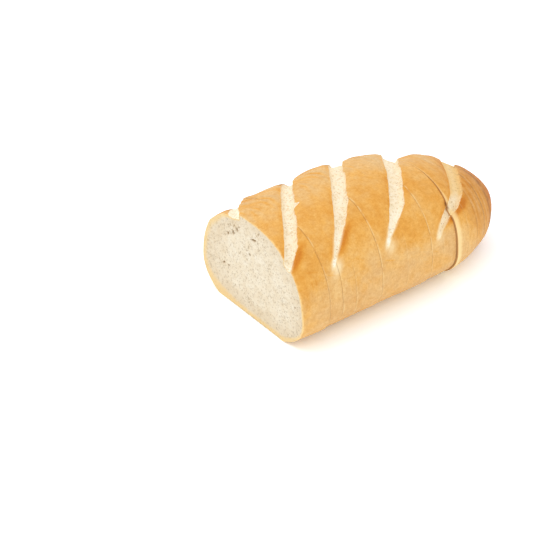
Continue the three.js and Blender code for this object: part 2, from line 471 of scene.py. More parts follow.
@dataclass(frozen=True)
class ScoreLine:
    """A line that runs along a score, which the mesh follows to keep it crisp."""

    offset: float
    share: float

    def girth_at(self, score: Score, station: np.ndarray) -> np.ndarray:
        """Return the girth where the line crosses stations, by halving.

        Args:
            score: The score that it follows.
            station: Stations in mm.

        Returns:
            Girths in mm.
        """
        high, low = np.full(station.shape, -140.0), np.full(station.shape, 140.0)
        for _ in range(34):
            girth = (high + low) / 2
            there = score.lip_station(girth) + self.offset
            there = there + self.share * score.floor_width(girth)
            beyond = there > station
            high = np.where(beyond, girth, high)
            low = np.where(beyond, low, girth)
        return (high + low) / 2


# ---------------------------------------------------------------- the crust's detail


@dataclass(frozen=True)
class Crease:
    """A short fold in the crust between two points, each a station and a girth in mm."""

    start: tuple[float, float]
    end: tuple[float, float]
    width: float = 0.55
    strength: float = 1.0

    def mask(self, station: np.ndarray, girth: np.ndarray) -> np.ndarray:
        """Return how strongly the fold shows at points, from 0 to 1.

        Args:
            station: Stations in mm.
            girth: Girths in mm.

        Returns:
            One value per point.
        """
        run, rise = self.end[0] - self.start[0], self.end[1] - self.start[1]
        length = math.hypot(run, rise)
        away_u, away_s = station - self.start[0], girth - self.start[1]
        along = (away_u * run + away_s * rise) / length
        beside = (away_s * run - away_u * rise) / length
        ends = smooth(-1, 1.5, along) * smooth(length + 1, length - 1.5, along)
        return self.strength * ends * np.exp(-(beside / self.width) ** 2)


CREASES = (
    Crease((10.0, 56.2), (19.6, 59.6), 0.4, 0.35), Crease((25.5, 64.1), (34.3, 67.9), 0.45, 0.5),
    Crease((75.2, 73.5), (84.8, 76.6), 0.45, 0.55), Crease((35.7, 67.9), (36.1, 80.0), 0.4, 0.4),
    Crease((11.6, 63.5), (11.9, 69.0), 0.4, 0.4), Crease((15.3, 62.5), (14.9, 68.0), 0.4, 0.35),
    Crease((98.2, 73.6), (126.5, 80.6), 0.4, 0.25), Crease((51.0, 62.5), (58.0, 67.0), 0.4, 0.3),
    Crease((8.3, -24.3), (14.8, -8.0), 0.7, 0.5), Crease((67.6, -33.0), (76.0, -17.0), 0.8, 0.7),
    Crease((108.0, -38.0), (121.0, -21.0), 0.7, 0.6),
)


@dataclass(frozen=True)
class Patch:
    """A broad patch that the oven browned more, or less, than the crust round it."""

    station: float
    girth: float
    long: float
    wide: float
    amount: float

    def tone(self, station: np.ndarray, girth: np.ndarray) -> np.ndarray:
        """Return how much browner the patch makes points."""
        along, beside = (station - self.station) / self.long, (girth - self.girth) / self.wide
        return self.amount * np.exp(-along ** 2 - beside ** 2)


PATCHES = (
    Patch(112, 64, 22, 12, 0.24), Patch(126, -22, 20, 18, -0.30), Patch(128, 90, 16, 8, 0.18),
    Patch(10, 68, 14, 14, 0.16), Patch(171, 44, 9, 9, -0.10), Patch(168, 66, 10, 9, 0.14),
    Patch(10, 90, 14, 9, 0.10), Patch(106, 40, 7, 8, -0.10), Patch(12, 6, 14, 20, -0.06),
)

# The far shoulder's line, as stations and girths, along which shade is painted.
SHOULDER_LINE = ((0, 38, 55, 90, 127, 156, 188, 200, 204.5, 216),
                 (-44, -42, -41, -39, -33, -34, -22, -12, 1, 20))


@dataclass(frozen=True)
class BrowningAndPaintedLight:
    """How much each cause adds to the crust's browning, or takes from it; the crown, wrinkle,
    shoulder and crease shares are painted light and shade.
    """

    middle: float = 0.5
    # Painted sheen: the crown is painted paler.
    crown: float = 0.16
    near: float = 0.07
    low: float = 0.17
    # Painted shade along the far shoulder.
    shoulder_shade: float = 0.34
    nose: float = 0.10
    rim: float = 0.22
    cloud: float = 0.08
    grain: float = 0.06
    # Painted highlight and shade: wrinkle crests painted paler, their hollows browner.
    wrinkle_light_and_shade: float = 0.28
    ring: float = 0.14
    # Painted shade: the creases are painted browner.
    crease: float = 0.34
    scorch: float = 0.42


@dataclass(frozen=True)
class ShadeAndDulling:
    """How much each cause dulls and darkens the crust; the low and shoulder shares are painted
    shade.
    """

    heel: float = 0.85
    # Painted shade low on the sides.
    low: float = 0.35
    far: float = 0.12
    # Painted shade along the far shoulder.
    shoulder_shade: float = 0.55
    cloud: float = 0.14


@dataclass(frozen=True)
class Crust:
    """What the oven did to the surface: scores, swelling, wrinkles and browning."""

    # Height in mm, and the stations and girths over which each swelling rises.
    BUTT_SWELL = (2.0, (26, 2), (-38, -60))
    NOSE_SWELL = (1.2, (168, 200), (4, 26))
    # Heights in mm of the finer relief.
    BROAD_HEIGHT = 0.32
    SKIN_HEIGHT = 0.10
    WRINKLE_HEIGHT = 0.30
    RING_HEIGHT = 0.05
    CREASE_DEPTH = 0.30
    # A floor baked more than this keeps some gold down to its near end.
    HELD_GOLD = 0.7

    scores: tuple[Score, ...]
    form: LoafForm
    browning_and_painted_light: BrowningAndPaintedLight = BrowningAndPaintedLight()
    shade_dulling: ShadeAndDulling = ShadeAndDulling()
    lines: tuple[ScoreLine, ...] = (
        ScoreLine(-4, 0), ScoreLine(-0.5, 0), ScoreLine(0, 0), ScoreLine(0.5, 0),
        ScoreLine(1.4, 0), ScoreLine(0, 0.5), ScoreLine(-1.4, 1), ScoreLine(-0.5, 1),
        ScoreLine(0, 1), ScoreLine(0.5, 1), ScoreLine(5, 1))
    swell: Noise = field(default_factory=lambda: Noise(11))
    skin: Noise = field(default_factory=lambda: Noise(12))
    fold: Noise = field(default_factory=lambda: Noise(13))
    patch: Noise = field(default_factory=lambda: Noise(14))

    def past_lip(self, station: np.ndarray, girth: np.ndarray) -> np.ndarray:
        """Return the distance from the nearest score's left edge, measured along the loaf."""
        across = np.array([score.across(station, girth) for score in self.scores])
        return np.min(np.where(across > 0, across, 60), axis=0)

    def wrinkles(self, station: np.ndarray, girth: np.ndarray) -> np.ndarray:
        """Return fine wrinkles on the crown's far side, which fan out past each score.

        Args:
            station: Stations in mm.
            girth: Girths in mm.

        Returns:
            Values between about -1 and 1, fading to 0 on the near side.
        """
        zone = smooth(16, -20, girth) * smooth(-78, -50, girth)
        turn = 0.25 + 0.8 * smooth(-44, 0, girth)
        local = self.past_lip(station, girth) - 20
        crosswise = girth * np.cos(turn) - local * np.sin(turn)
        lengthwise = local * np.cos(turn) + girth * np.sin(turn) + 3.7 * np.floor(station / 44)
        crosswise = crosswise + 1.2 * self.skin.value(station / 15, girth / 15)
        fine = self.fold.layered(lengthwise / 19, crosswise / 2.3, 2)
        wide = self.fold.value(lengthwise / 34 + 31, crosswise / 6.1)
        return zone * (0.75 * fine + 0.55 * wide)

    def rings(self, station: np.ndarray, girth: np.ndarray) -> np.ndarray:
        """Return fine ripples that run round the loaf near its heel, about -1 to 1."""
        zone = smooth(150, 178, station) * smooth(-60, -10, girth) * smooth(82, 60, girth)
        return zone * self.fold.layered(station / 2.6 + 60, girth / 46, 2)

    def creases(self, station: np.ndarray, girth: np.ndarray) -> np.ndarray:
        """Return faint short creases low on both sides, from 0 to 1.

        Args:
            station: Stations in mm.
            girth: Girths in mm.

        Returns:
            One value per point.
        """
        zone = smooth(58, 66, np.abs(girth)) * smooth(96, 84, np.abs(girth))
        there = smooth(0.12, 0.5, self.patch.value(station / 16, girth / 11))
        ridge = 1 - np.abs(self.fold.value(station / 13, girth / 3.4 + 0.02 * station))
        faint = 0.28 * zone * there * np.clip(ridge, 0, 1) ** 12
        return np.max([faint, *(crease.mask(station, girth) for crease in CREASES)], axis=0)

    def relief(self, station: np.ndarray, girth: np.ndarray) -> np.ndarray:
        """Return the whole relief over the smooth loaf.

        Args:
            station: Stations in mm.
            girth: Girths in mm.

        Returns:
            Height in mm.
        """
        height = sum(score.relief(station, girth) for score in self.scores)
        height = height + self.BROAD_HEIGHT * self.swell.layered(station / 30, girth / 26, 2)
        height = height + self.SKIN_HEIGHT * self.skin.layered(station / 6.5, girth / 6.0, 3)
        height = height + self.WRINKLE_HEIGHT * self.wrinkles(station, girth)
        height = height + self.RING_HEIGHT * self.rings(station, girth)
        for rise, stations, girths in (self.BUTT_SWELL, self.NOSE_SWELL):
            height = height + rise * smooth(*stations, station) * smooth(*girths, girth)
        return height - self.CREASE_DEPTH * self.creases(station, girth)

    def inside_score(self, station: np.ndarray, girth: np.ndarray) -> np.ndarray:
        """Return how far points lie inside a score's floor, in mm, below zero outside."""
        return np.max([score.inside(station, girth) for score in self.scores], axis=0)

    def glow(self, station: np.ndarray, girth: np.ndarray) -> np.ndarray:
        """Return the pale bloom round the closed ends of the scores, from 0 to 1.

        Args:
            station: Stations in mm.
            girth: Girths in mm.

        Returns:
            One value per point.
        """
        total = np.zeros(np.broadcast(station, girth).shape)
        for score in self.scores:
            for end, way in ((score.near, 1), (score.far, -1)):
                ahead = (girth - end) * way
                beside = station - score.lip_station(np.float64(end)) + 0.35 * ahead * way - 1.0
                core = np.exp(-(ahead / 4.2) ** 2 - (beside / 2.2) ** 2)
                halo = np.exp(-((ahead - 3.0) / 6.8) ** 2 - ((beside - 2.4) / 5.4) ** 2)
                total = np.maximum(total, np.maximum(core, score.halo * halo))
            rim = score.inside(station, girth)
            low = smooth(score.full + 4, score.near - 6, girth)
            total = np.maximum(total, 0.65 * low * np.exp(-(np.minimum(rim, 0) / 2.0) ** 2))
        return total

    def outline(self, station: np.ndarray, girth: np.ndarray) -> np.ndarray:
        """Return the painted shade band along the far shoulder, from 0 to 1."""
        past = np.interp(station, *SHOULDER_LINE) - girth
        return smooth(-7, 2, past) * (1 - 0.7 * smooth(6, 30, past))

    def tan(self, station: np.ndarray, girth: np.ndarray) -> np.ndarray:
        """Return how dull and dark the crust is, mostly round the heel, with painted shade low on
        the sides and along the far shoulder, from 0 to 1.

        Args:
            station: Stations in mm.
            girth: Girths in mm.

        Returns:
            One value per point.
        """
        by = self.shade_dulling
        heel = by.heel * smooth(140, 195, station) * smooth(-70, 40, girth)
        low = by.low * smooth(55, 95, np.abs(girth))
        # The far side is duller; the far shoulder's band is painted shade.
        far = by.far * smooth(-15, -38, girth) + by.shoulder_shade * self.outline(station, girth)
        cloud = by.cloud * self.swell.layered(station / 17, girth / 15, 3)
        return np.clip(np.maximum(heel, low) + far + cloud, 0, 1)

    def scorch(self, station: np.ndarray, girth: np.ndarray) -> np.ndarray:
        """Return the deeper browning beside the lower half of each score, from 0 to 1.

        Args:
            station: Stations in mm.
            girth: Girths in mm.

        Returns:
            One value per point.
        """
        total = np.zeros(np.broadcast(station, girth).shape)
        for score in self.scores:
            past = score.across(station, girth) - score.floor_width(girth)
            start, end = score.scorch
            lower = smooth(start - 7, start + 3, girth) * smooth(end + 5, end - 4, girth)
            right = np.exp(-((past - 2.8) / 4.8) ** 2) * smooth(-1.5, 0.8, past)
            left = 0.35 * np.exp(-((score.across(station, girth) + 1.2) / 4.0) ** 2)
            upper = 0.26 * np.exp(-((score.across(station, girth) + 1.0) / 2.2) ** 2)
            upper = upper * smooth(score.near - 8, score.full - 10, girth)
            beside = lower * score.scorched * np.maximum(right, left)
            total = np.maximum(total, np.maximum(beside, upper))
        return total

    def toast(self, station: np.ndarray, girth: np.ndarray) -> np.ndarray:
        """Return how brown the crust is baked, about 0.5 on the crown's near side, with painted
        light and shade added in.

        Args:
            station: Stations in mm.
            girth: Girths in mm.

        Returns:
            One value per point, paler below and browner above.
        """
        by = self.browning_and_painted_light
        # The paler crown is painted sheen.
        brown = by.middle - by.crown * np.exp(-((girth + 10) / 20) ** 2)
        brown = brown + by.near * smooth(-8, 14, girth) * smooth(66, 48, girth)
        brown = brown - by.low * smooth(48, 82, np.abs(girth))
        # Painted shade along the far shoulder.
        brown = brown + by.shoulder_shade * self.outline(station, girth)
        brown = brown + by.nose * smooth(150, 205, station) + by.rim * smooth(194, 197, station)
        for patch in PATCHES:
            brown = brown + patch.tone(station, girth)
        brown = brown + by.cloud * self.patch.layered(station / 24, girth / 19, 3)
        brown = brown + by.grain * self.skin.layered(station / 5, girth / 5, 2)
        # Painted highlight and shade: wrinkle crests paler, their hollows browner.
        brown = brown - by.wrinkle_light_and_shade * self.wrinkles(station, girth)
        brown = brown + by.ring * self.rings(station, girth)
        # Painted shade: the creases are painted browner.
        brown = brown + by.crease * self.creases(station, girth)
        return brown + by.scorch * self.scorch(station, girth)

    def lip_tips(self, station: np.ndarray, girth: np.ndarray) -> np.ndarray:
        """Return the dark baked tips where the left lips pass the crown's far side.

        Args:
            station: Stations in mm.
            girth: Girths in mm.

        Returns:
            One value per point, from 0 to 1.
        """
        total = np.zeros(np.broadcast(station, girth).shape)
        for score in (score for score in self.scores if score.tip is not None):
            across = (score.across(station, girth) + 1.5) / 1.3
            along = (girth - score.tip) / 6.5
            total = np.maximum(total, np.exp(-across ** 2 - along ** 2))
        return total

    def baked(self, station: np.ndarray, girth: np.ndarray) -> np.ndarray:
        """Return how golden the torn floors are, from 0 to 1.

        Args:
            station: Stations in mm.
            girth: Girths in mm.

        Returns:
            One value per point.
        """
        total = np.zeros(np.broadcast(station, girth).shape)
        for score in self.scores:
            middle = score.across(station, girth) / score.floor_width(girth) - 0.45
            fringe = 0.75 + 0.25 * smooth(0.10, 0.42, np.abs(middle))
            kept = np.maximum(smooth(50, 34, girth), score.baked - self.HELD_GOLD)
            gold = score.baked * fringe * kept
            gold = np.maximum(gold, 0.8 * score.far_gold * smooth(-30, -38, girth))
            total = np.where(score.inside(station, girth) > -3, gold, total)
        return total


# ---------------------------------------------------------------- shader helpers


class Tree:
    """Thin hand-hold on a node tree, for materials and node groups alike."""

    def __init__(self, tree: bpy.types.NodeTree) -> None:
        """Take the tree to build in."""
        self.tree = tree

    def add(self, kind: str, inputs: dict | None = None, **settings) -> bpy.types.Node:
        """Add a node.

        Args:
            kind: Node type without its ShaderNode prefix.
            inputs: Values or sockets for its inputs, by name or number.
            **settings: Attributes of the node.

        Returns:
            The node.
        """
        node = self.tree.nodes.new("ShaderNode" + kind)
        for name, value in settings.items():
            setattr(node, name, value)
        for name, value in (inputs or {}).items():
            if isinstance(value, bpy.types.NodeSocket):
                self.link(value, node.inputs[name])
            else:
                node.inputs[name].default_value = value
        return node

    def link(self, source: bpy.types.NodeSocket, target: bpy.types.NodeSocket) -> None:
        """Link two sockets."""
        self.tree.links.new(source, target)

    def tint(self, colour: object, target: object, mask: object,
             strength: float) -> bpy.types.NodeSocket:
        """Return a colour drawn towards another one by a mask times a strength."""
        return self.blend(self.math("MULTIPLY", mask, strength), colour, target)

    def bump(self, shader: bpy.types.Node, height: object, strength: float,
             distance: float) -> None:
        """Give a shader a bump, whose distance is in metres."""
        node = self.add("Bump", {"Height": height, "Strength": strength, "Distance": distance})
        self.link(node.outputs[0], shader.inputs["Normal"])

    def math(self, operation: str, *values: object, clamp: bool = False) -> bpy.types.NodeSocket:
        """Return the result of a math node on values or sockets."""
        node = self.add("Math", dict(enumerate(values)), operation=operation, use_clamp=clamp)
        return node.outputs[0]

    def blend(self, share: object, first: object, second: object,
              mode: str = "MIX") -> bpy.types.NodeSocket:
        """Return two colours mixed by a share."""
        node = self.add("Mix", {0: share, 6: first, 7: second}, data_type="RGBA", blend_type=mode)
        return node.outputs[2]

    def spread(self, value: object, low: float, high: float, to_low: float = 0.0,
               to_high: float = 1.0) -> bpy.types.NodeSocket:
        """Return a value mapped softly from one range to another.

        Args:
            value: Value or socket to map.
            low: Value that gives to_low.
            high: Value that gives to_high.
            to_low: Result at low.
            to_high: Result at high.

        Returns:
            The mapped value.
        """
        node = self.add("MapRange", {0: value, 1: low, 2: high, 3: to_low, 4: to_high},
                        interpolation_type="SMOOTHSTEP")
        return node.outputs[0]

    def noise(self, place: object, scale: float, detail: float = 3.0,
              rough: float = 0.55) -> bpy.types.NodeSocket:
        """Return noise at a place, about 0 to 1.

        Args:
            place: Socket of the place.
            scale: Cells to the metre.
            detail: Number of finer layers.
            rough: Strength of the finer layers.

        Returns:
            The noise value.
        """
        node = self.add("TexNoise", {"Vector": place, "Scale": scale, "Detail": detail,
                                     "Roughness": rough})
        return node.outputs["Fac"]

    def mask(self, name: str) -> bpy.types.NodeSocket:
        """Return a number stored on the mesh."""
        return self.add("Attribute", attribute_name=name).outputs["Fac"]

    def ramp(self, value: object, stops: list[tuple[float, tuple]]) -> bpy.types.NodeSocket:
        """Return a colour from stops of place and colour.

        Args:
            value: Value or socket from 0 to 1.
            stops: Place and colour of each stop.

        Returns:
            The colour.
        """
        node = self.add("ValToRGB", {0: value})
        node.color_ramp.interpolation = "B_SPLINE" if len(stops) > 4 else "LINEAR"
        while len(node.color_ramp.elements) < len(stops):
            node.color_ramp.elements.new(0.5)
        for element, (place, colour) in zip(node.color_ramp.elements, stops):
            element.position = place
            element.color = colour
        return node.outputs[0]

    def use(self, group: bpy.types.NodeTree, inputs: dict) -> bpy.types.Node:
        """Place a node group with its own values."""
        return self.add("Group", inputs, node_tree=group)


def linear(value: int) -> float:
    """Return the linear share of a display value of 0 to 255, as the sRGB standard has it."""
    share = value / 255
    return share / 12.92 if share <= 0.04045 else ((share + 0.055) / 1.055) ** 2.4


def srgb(red: int, green: int, blue: int) -> tuple[float, float, float, float]:
    """Return a linear colour from display values of 0 to 255."""
    return (linear(red), linear(green), linear(blue), 1.0)


def new_group(name: str, inputs: dict[str, tuple[str, object]],
              outputs: dict[str, str]) -> tuple[Tree, bpy.types.Node, bpy.types.Node]:
    """Make an empty node group with named sockets.

    Args:
        name: Name of the group.
        inputs: Socket type and default by input name.
        outputs: Socket type by output name.

    Returns:
        The tree, its input node and its output node.
    """
    group = bpy.data.node_groups.new(name, "ShaderNodeTree")
    for label, (kind, default) in inputs.items():
        socket = group.interface.new_socket(label, in_out="INPUT", socket_type=kind)
        if default is not None:
            socket.default_value = default
    for label, kind in outputs.items():
        group.interface.new_socket(label, in_out="OUTPUT", socket_type=kind)
    tree = Tree(group)
    return tree, group.nodes.new("NodeGroupInput"), group.nodes.new("NodeGroupOutput")


class Effects:
    """The node groups that several finishes share, each built once."""

    def __init__(self) -> None:
        """Build the groups."""
        self.mottle = self.build_mottle()
        self.pores = self.build_pores()
        self.specks = self.build_specks()

    def vary(self, tree: Tree, place: object, colour: object, scale: float,
             amount: float) -> bpy.types.Node:
        """Place the mottle group, which varies a colour gently."""
        return tree.use(self.mottle, {"Place": place, "Colour": colour, "Scale": scale,
                                      "Amount": amount})

    def pit(self, tree: Tree, place: object, scale: float, share: float) -> bpy.types.Node:
        """Place the pores group."""
        return tree.use(self.pores, {"Place": place, "Scale": scale, "Share": share})

    def dot(self, tree: Tree, place: object, scale: float,
            share: float) -> bpy.types.NodeSocket:
        """Place the specks group and return its mask."""
        return tree.use(self.specks, {"Place": place, "Scale": scale,
                                      "Share": share}).outputs["Mask"]

    def build_mottle(self) -> bpy.types.NodeTree:
        """Return the group that varies a colour gently in patches.

        Returns:
            The group.
        """
        tree, source, sink = new_group(
            "mottle",
            {"Place": ("NodeSocketVector", None), "Colour": ("NodeSocketColor", (1, 1, 1, 1)),
             "Scale": ("NodeSocketFloat", 200.0), "Amount": ("NodeSocketFloat", 0.1)},
            {"Colour": "NodeSocketColor", "Mask": "NodeSocketFloat"})
        coarse = tree.noise(source.outputs["Place"], 1.0, 4.0, 0.6).node
        tree.link(source.outputs["Scale"], coarse.inputs["Scale"])
        swing = tree.math("MULTIPLY_ADD", coarse.outputs["Fac"], 2.4, -1.2)
        share = tree.math("MULTIPLY", swing, source.outputs["Amount"])
        gain = tree.math("ADD", share, 1.0)
        tint = tree.add("CombineColor", {0: tree.math("POWER", gain, 0.55),
                                         1: gain, 2: tree.math("POWER", gain, 1.7)})
        colour = tree.blend(1.0, source.outputs["Colour"], tint.outputs[0], "MULTIPLY")
        tree.link(colour, sink.inputs["Colour"])
        tree.link(coarse.outputs["Fac"], sink.inputs["Mask"])
        return tree.tree

    def build_pores(self) -> bpy.types.NodeTree:
        """Return the group that scatters small uneven pores.

        Returns:
            The group.
        """
        tree, source, sink = new_group(
            "pores",
            {"Place": ("NodeSocketVector", None), "Scale": ("NodeSocketFloat", 600.0),
             "Share": ("NodeSocketFloat", 0.5)},
            {"Mask": "NodeSocketFloat", "Height": "NodeSocketFloat"})
        wobble = tree.add("TexNoise", {"Vector": source.outputs["Place"], "Scale": 520.0,
                                       "Detail": 2.0})
        moved = tree.add("MixRGB", {0: 0.0016, 1: source.outputs["Place"],
                                    2: wobble.outputs["Color"]}, blend_type="ADD")
        cells = tree.add("TexVoronoi", {"Vector": moved.outputs[0], "Scale": 1.0,
                                        "Randomness": 1.0})
        tree.link(source.outputs["Scale"], cells.inputs["Scale"])
        draw = tree.add("SeparateColor", {0: cells.outputs["Color"]})
        size = tree.math("MULTIPLY", draw.outputs[0], source.outputs["Share"])
        depth = tree.math("SUBTRACT", size, cells.outputs["Distance"])
        mask = tree.spread(depth, -0.04, 0.14)
        tree.link(mask, sink.inputs["Mask"])
        tree.link(tree.math("MULTIPLY", mask, -1.0), sink.inputs["Height"])
        return tree.tree

    def build_specks(self) -> bpy.types.NodeTree:
        """Return the group that scatters tiny sparse dots.

        Returns:
            The group.
        """
        tree, source, sink = new_group(
            "specks",
            {"Place": ("NodeSocketVector", None), "Scale": ("NodeSocketFloat", 400.0),
             "Share": ("NodeSocketFloat", 0.1)},
            {"Mask": "NodeSocketFloat"})
        cells = tree.add("TexVoronoi", {"Vector": source.outputs["Place"], "Scale": 1.0})
        tree.link(source.outputs["Scale"], cells.inputs["Scale"])
        draw = tree.add("SeparateColor", {0: cells.outputs["Color"]})
        chosen = tree.math("LESS_THAN", draw.outputs[1], source.outputs["Share"])
        dot = tree.spread(cells.outputs["Distance"], 0.30, 0.12)
        tree.link(tree.math("MULTIPLY", dot, chosen), sink.inputs["Mask"])
        return tree.tree


def new_material(name: str) -> tuple[bpy.types.Material, Tree, bpy.types.Node]:
    """Make a material with a Principled shader.

    Args:
        name: Name of the material.

    Returns:
        The material, its tree and its shader node.
    """
    material = bpy.data.materials.new(name)
    material.use_nodes = True
    shader = material.node_tree.nodes["Principled BSDF"]
    return material, Tree(material.node_tree), shader


@dataclass(frozen=True)
class CrustFinish:
    """Golden oven-baked crust, with the pale torn crumb in the scores."""

    bloom: tuple = srgb(250, 232, 190)
    pale: tuple = srgb(224, 184, 126)
    light: tuple = srgb(229, 182, 115)
    mid: tuple = srgb(231, 172, 84)
    deep: tuple = srgb(219, 146, 50)
    scorched: tuple = srgb(206, 124, 38)
    # Tint of the painted shade and of the duller heel, far side and clouds.
    shade_dulled: tuple = (0.78, 0.70, 0.76, 1.0)
    torn: tuple = srgb(252, 243, 222)
    torn_low: tuple = srgb(249, 234, 200)
    torn_gold: tuple = srgb(238, 201, 138)
    # Painted shade in the pores of the torn floors.
    torn_pore: tuple = srgb(224, 194, 142)
    torn_speck: tuple = srgb(160, 112, 60)
    edge_pale: tuple = srgb(252, 222, 160)
    # Painted shade along the knife cuts, also the colour of the baked lip tips.
    cut_shade_and_tips: tuple = srgb(146, 88, 38)
    roughness: float = 0.56
    mottle_scales: tuple[float, float] = (330.0, 820.0)

    def build(self, effects: Effects) -> bpy.types.Material:
        """Return the crust material.

        Args:
            effects: The shared node groups.

        Returns:
            The material.
        """
        material, tree, shader = new_material("crust")
        place = tree.add("TexCoord").outputs["Object"]
        fine = tree.noise(place, 900.0, 3.0, 0.6)
        # The ramp reads the baked browning together with its painted sheen, highlights and shade.
        toast = tree.math("MULTIPLY_ADD", tree.math("SUBTRACT", fine, 0.5), 0.10,
                          tree.mask("toast"))
        colour = tree.ramp(toast, [(0.05, self.pale), (0.35, self.light), (0.55, self.mid),
                                   (0.80, self.deep), (1.0, self.scorched)])
        for scale in self.mottle_scales:
            colour = effects.vary(tree, place, colour, scale, 0.25).outputs["Colour"]
        colour = tree.tint(colour, self.scorched, effects.dot(tree, place, 330.0, 0.10), 0.22)
        # Painted shade low on the sides and along the far shoulder; a duller heel, far side and
        # clouds.
        shade_dulled = tree.blend(1.0, colour, self.shade_dulled, "MULTIPLY")
        colour = tree.blend(tree.mask("tan"), colour, shade_dulled)
        glow = tree.spread(tree.math("ADD", tree.mask("glow"),
                                     tree.math("MULTIPLY_ADD", fine, 0.24, -0.12)), 0.05, 1.0)
        colour = tree.blend(glow, colour, self.bloom)
        pores = effects.pit(tree, place, 620.0, 0.62)
        patch = tree.spread(tree.noise(place, 190.0, 3.0), 0.42, 0.72)
        torn = tree.tint(self.torn, self.torn_low, patch, 0.55)
        torn = tree.blend(tree.mask("baked"), torn, self.torn_gold)
        torn = effects.vary(tree, place, torn, 640.0, 0.16).outputs["Colour"]
        # Painted shade in the pores of the torn floors.
        torn = tree.tint(torn, self.torn_pore, pores.outputs["Mask"], 0.44)
        torn = tree.tint(torn, self.torn_speck, effects.dot(tree, place, 420.0, 0.24), 0.5)
        ragged = tree.math("MULTIPLY_ADD", tree.noise(place, 520.0, 3.0), 1.5, -0.75)
        inside = tree.spread(tree.math("ADD", tree.mask("inside"), ragged), -0.45, 0.5)
        colour = tree.blend(inside, colour, torn)
        colour = tree.blend(tree.mask("edge_pale"), colour, self.edge_pale)
        colour = tree.blend(tree.mask("cut_shade_and_tips"), colour, self.cut_shade_and_tips)
        tree.link(colour, shader.inputs["Base Color"])
        rough = tree.math("MULTIPLY_ADD", inside, 0.26, self.roughness)
        rough = tree.math("MULTIPLY_ADD", fine, 0.10, rough)
        tree.link(rough, shader.inputs["Roughness"])
        skin = tree.math("MULTIPLY", tree.noise(place, 1500.0, 4.0, 0.6), 0.10)
        torn_height = tree.math("MULTIPLY", pores.outputs["Height"],
                                tree.math("MULTIPLY", inside, 0.5))
        tree.bump(shader, tree.math("ADD", skin, torn_height), 0.5, 0.0008)
        shader.inputs["Specular IOR Level"].default_value = 0.16
        return material


@dataclass(frozen=True)
class CrumbFinish:
    """Soft white crumb on the cut faces, with a thin crust line round it, and shade painted in its
    pores, toward its bottom and in the open gap.
    """

    crumb: tuple = srgb(226, 210, 185)
    # Denser crumb near the rim, also the painted shade low on the face.
    dense_and_shaded: tuple = srgb(219, 200, 172)
    # Painted shade in the crumb's pores and holes.
    hollow: tuple = srgb(172, 146, 112)
    rind: tuple = srgb(228, 196, 142)
    shadow: tuple = srgb(206, 160, 106)
    roughness: float = 0.86

    def build(self, effects: Effects) -> bpy.types.Material:
        """Return the crumb material.

        Args:
            effects: The shared node groups.

        Returns:
            The material.
        """
        material, tree, shader = new_material("crumb")
        place = tree.add("TexCoord").outputs["Object"]
        # The rim depth also carries the painted shade toward the face's bottom.
        rim = tree.math("ADD", tree.mask("rim_depth"),
                        tree.math("MULTIPLY_ADD", tree.noise(place, 420.0, 3.0), 1.2, -0.6))
        colour = tree.blend(tree.spread(rim, 2.0, 13.0), self.dense_and_shaded, self.crumb)
        mottle = effects.vary(tree, place, colour, 170.0, 0.16)
        fine = effects.pit(tree, place, 760.0, 0.55)
        wide = effects.pit(tree, place, 340.0, 0.44)
        # Pores and holes are painted with shade; sparse dots take the same colour.
        pores = tree.math("MAXIMUM", tree.math("MULTIPLY", fine.outputs["Mask"], 0.42),
                          tree.math("MULTIPLY", wide.outputs["Mask"], 0.50))
        deep = tree.math("MAXIMUM", pores, tree.mask("pore"), clamp=True)
        dots = tree.math("MULTIPLY", effects.dot(tree, place, 300.0, 0.09), 0.5)
        deep = tree.math("MAXIMUM", deep, dots)
        colour = tree.blend(deep, mottle.outputs["Colour"], self.hollow)
        colour = tree.blend(tree.spread(rim, 1.6, 0.3), colour, self.rind)
        colour = tree.blend(tree.mask("shade"), colour, self.shadow)
        tree.link(colour, shader.inputs["Base Color"])
        shader.inputs["Roughness"].default_value = self.roughness
        shader.inputs["Specular IOR Level"].default_value = 0.2
        height = tree.math("ADD", tree.math("MULTIPLY", fine.outputs["Height"], 0.6),
                           wide.outputs["Height"])
        tree.bump(shader, height, 0.55, 0.0006)
        return material


@dataclass(frozen=True)
class BaseFinish:
    """The flat underside, browned on the oven's hearth."""

    brown: tuple = srgb(206, 146, 84)
    light: tuple = srgb(228, 180, 122)
    speck: tuple = srgb(150, 96, 48)
    roughness: float = 0.7

    def build(self, effects: Effects) -> bpy.types.Material:
        """Return the base material.

        Args:
            effects: The shared node groups.

        Returns:
            The material.
        """
        material, tree, shader = new_material("base_crust")
        place = tree.add("TexCoord").outputs["Object"]
        patch = tree.spread(tree.noise(place, 60.0, 4.0, 0.6), 0.35, 0.7)
        colour = tree.blend(patch, self.brown, self.light)
        mottle = effects.vary(tree, place, colour, 340.0, 0.12)
        specks = effects.dot(tree, place, 260.0, 0.2)
        colour = tree.tint(mottle.outputs["Colour"], self.speck, specks, 0.4)
        tree.link(colour, shader.inputs["Base Color"])
        shader.inputs["Roughness"].default_value = self.roughness
        tree.bump(shader, mottle.outputs["Mask"], 0.5, 0.0008)
        return material


# ---------------------------------------------------------------- meshes


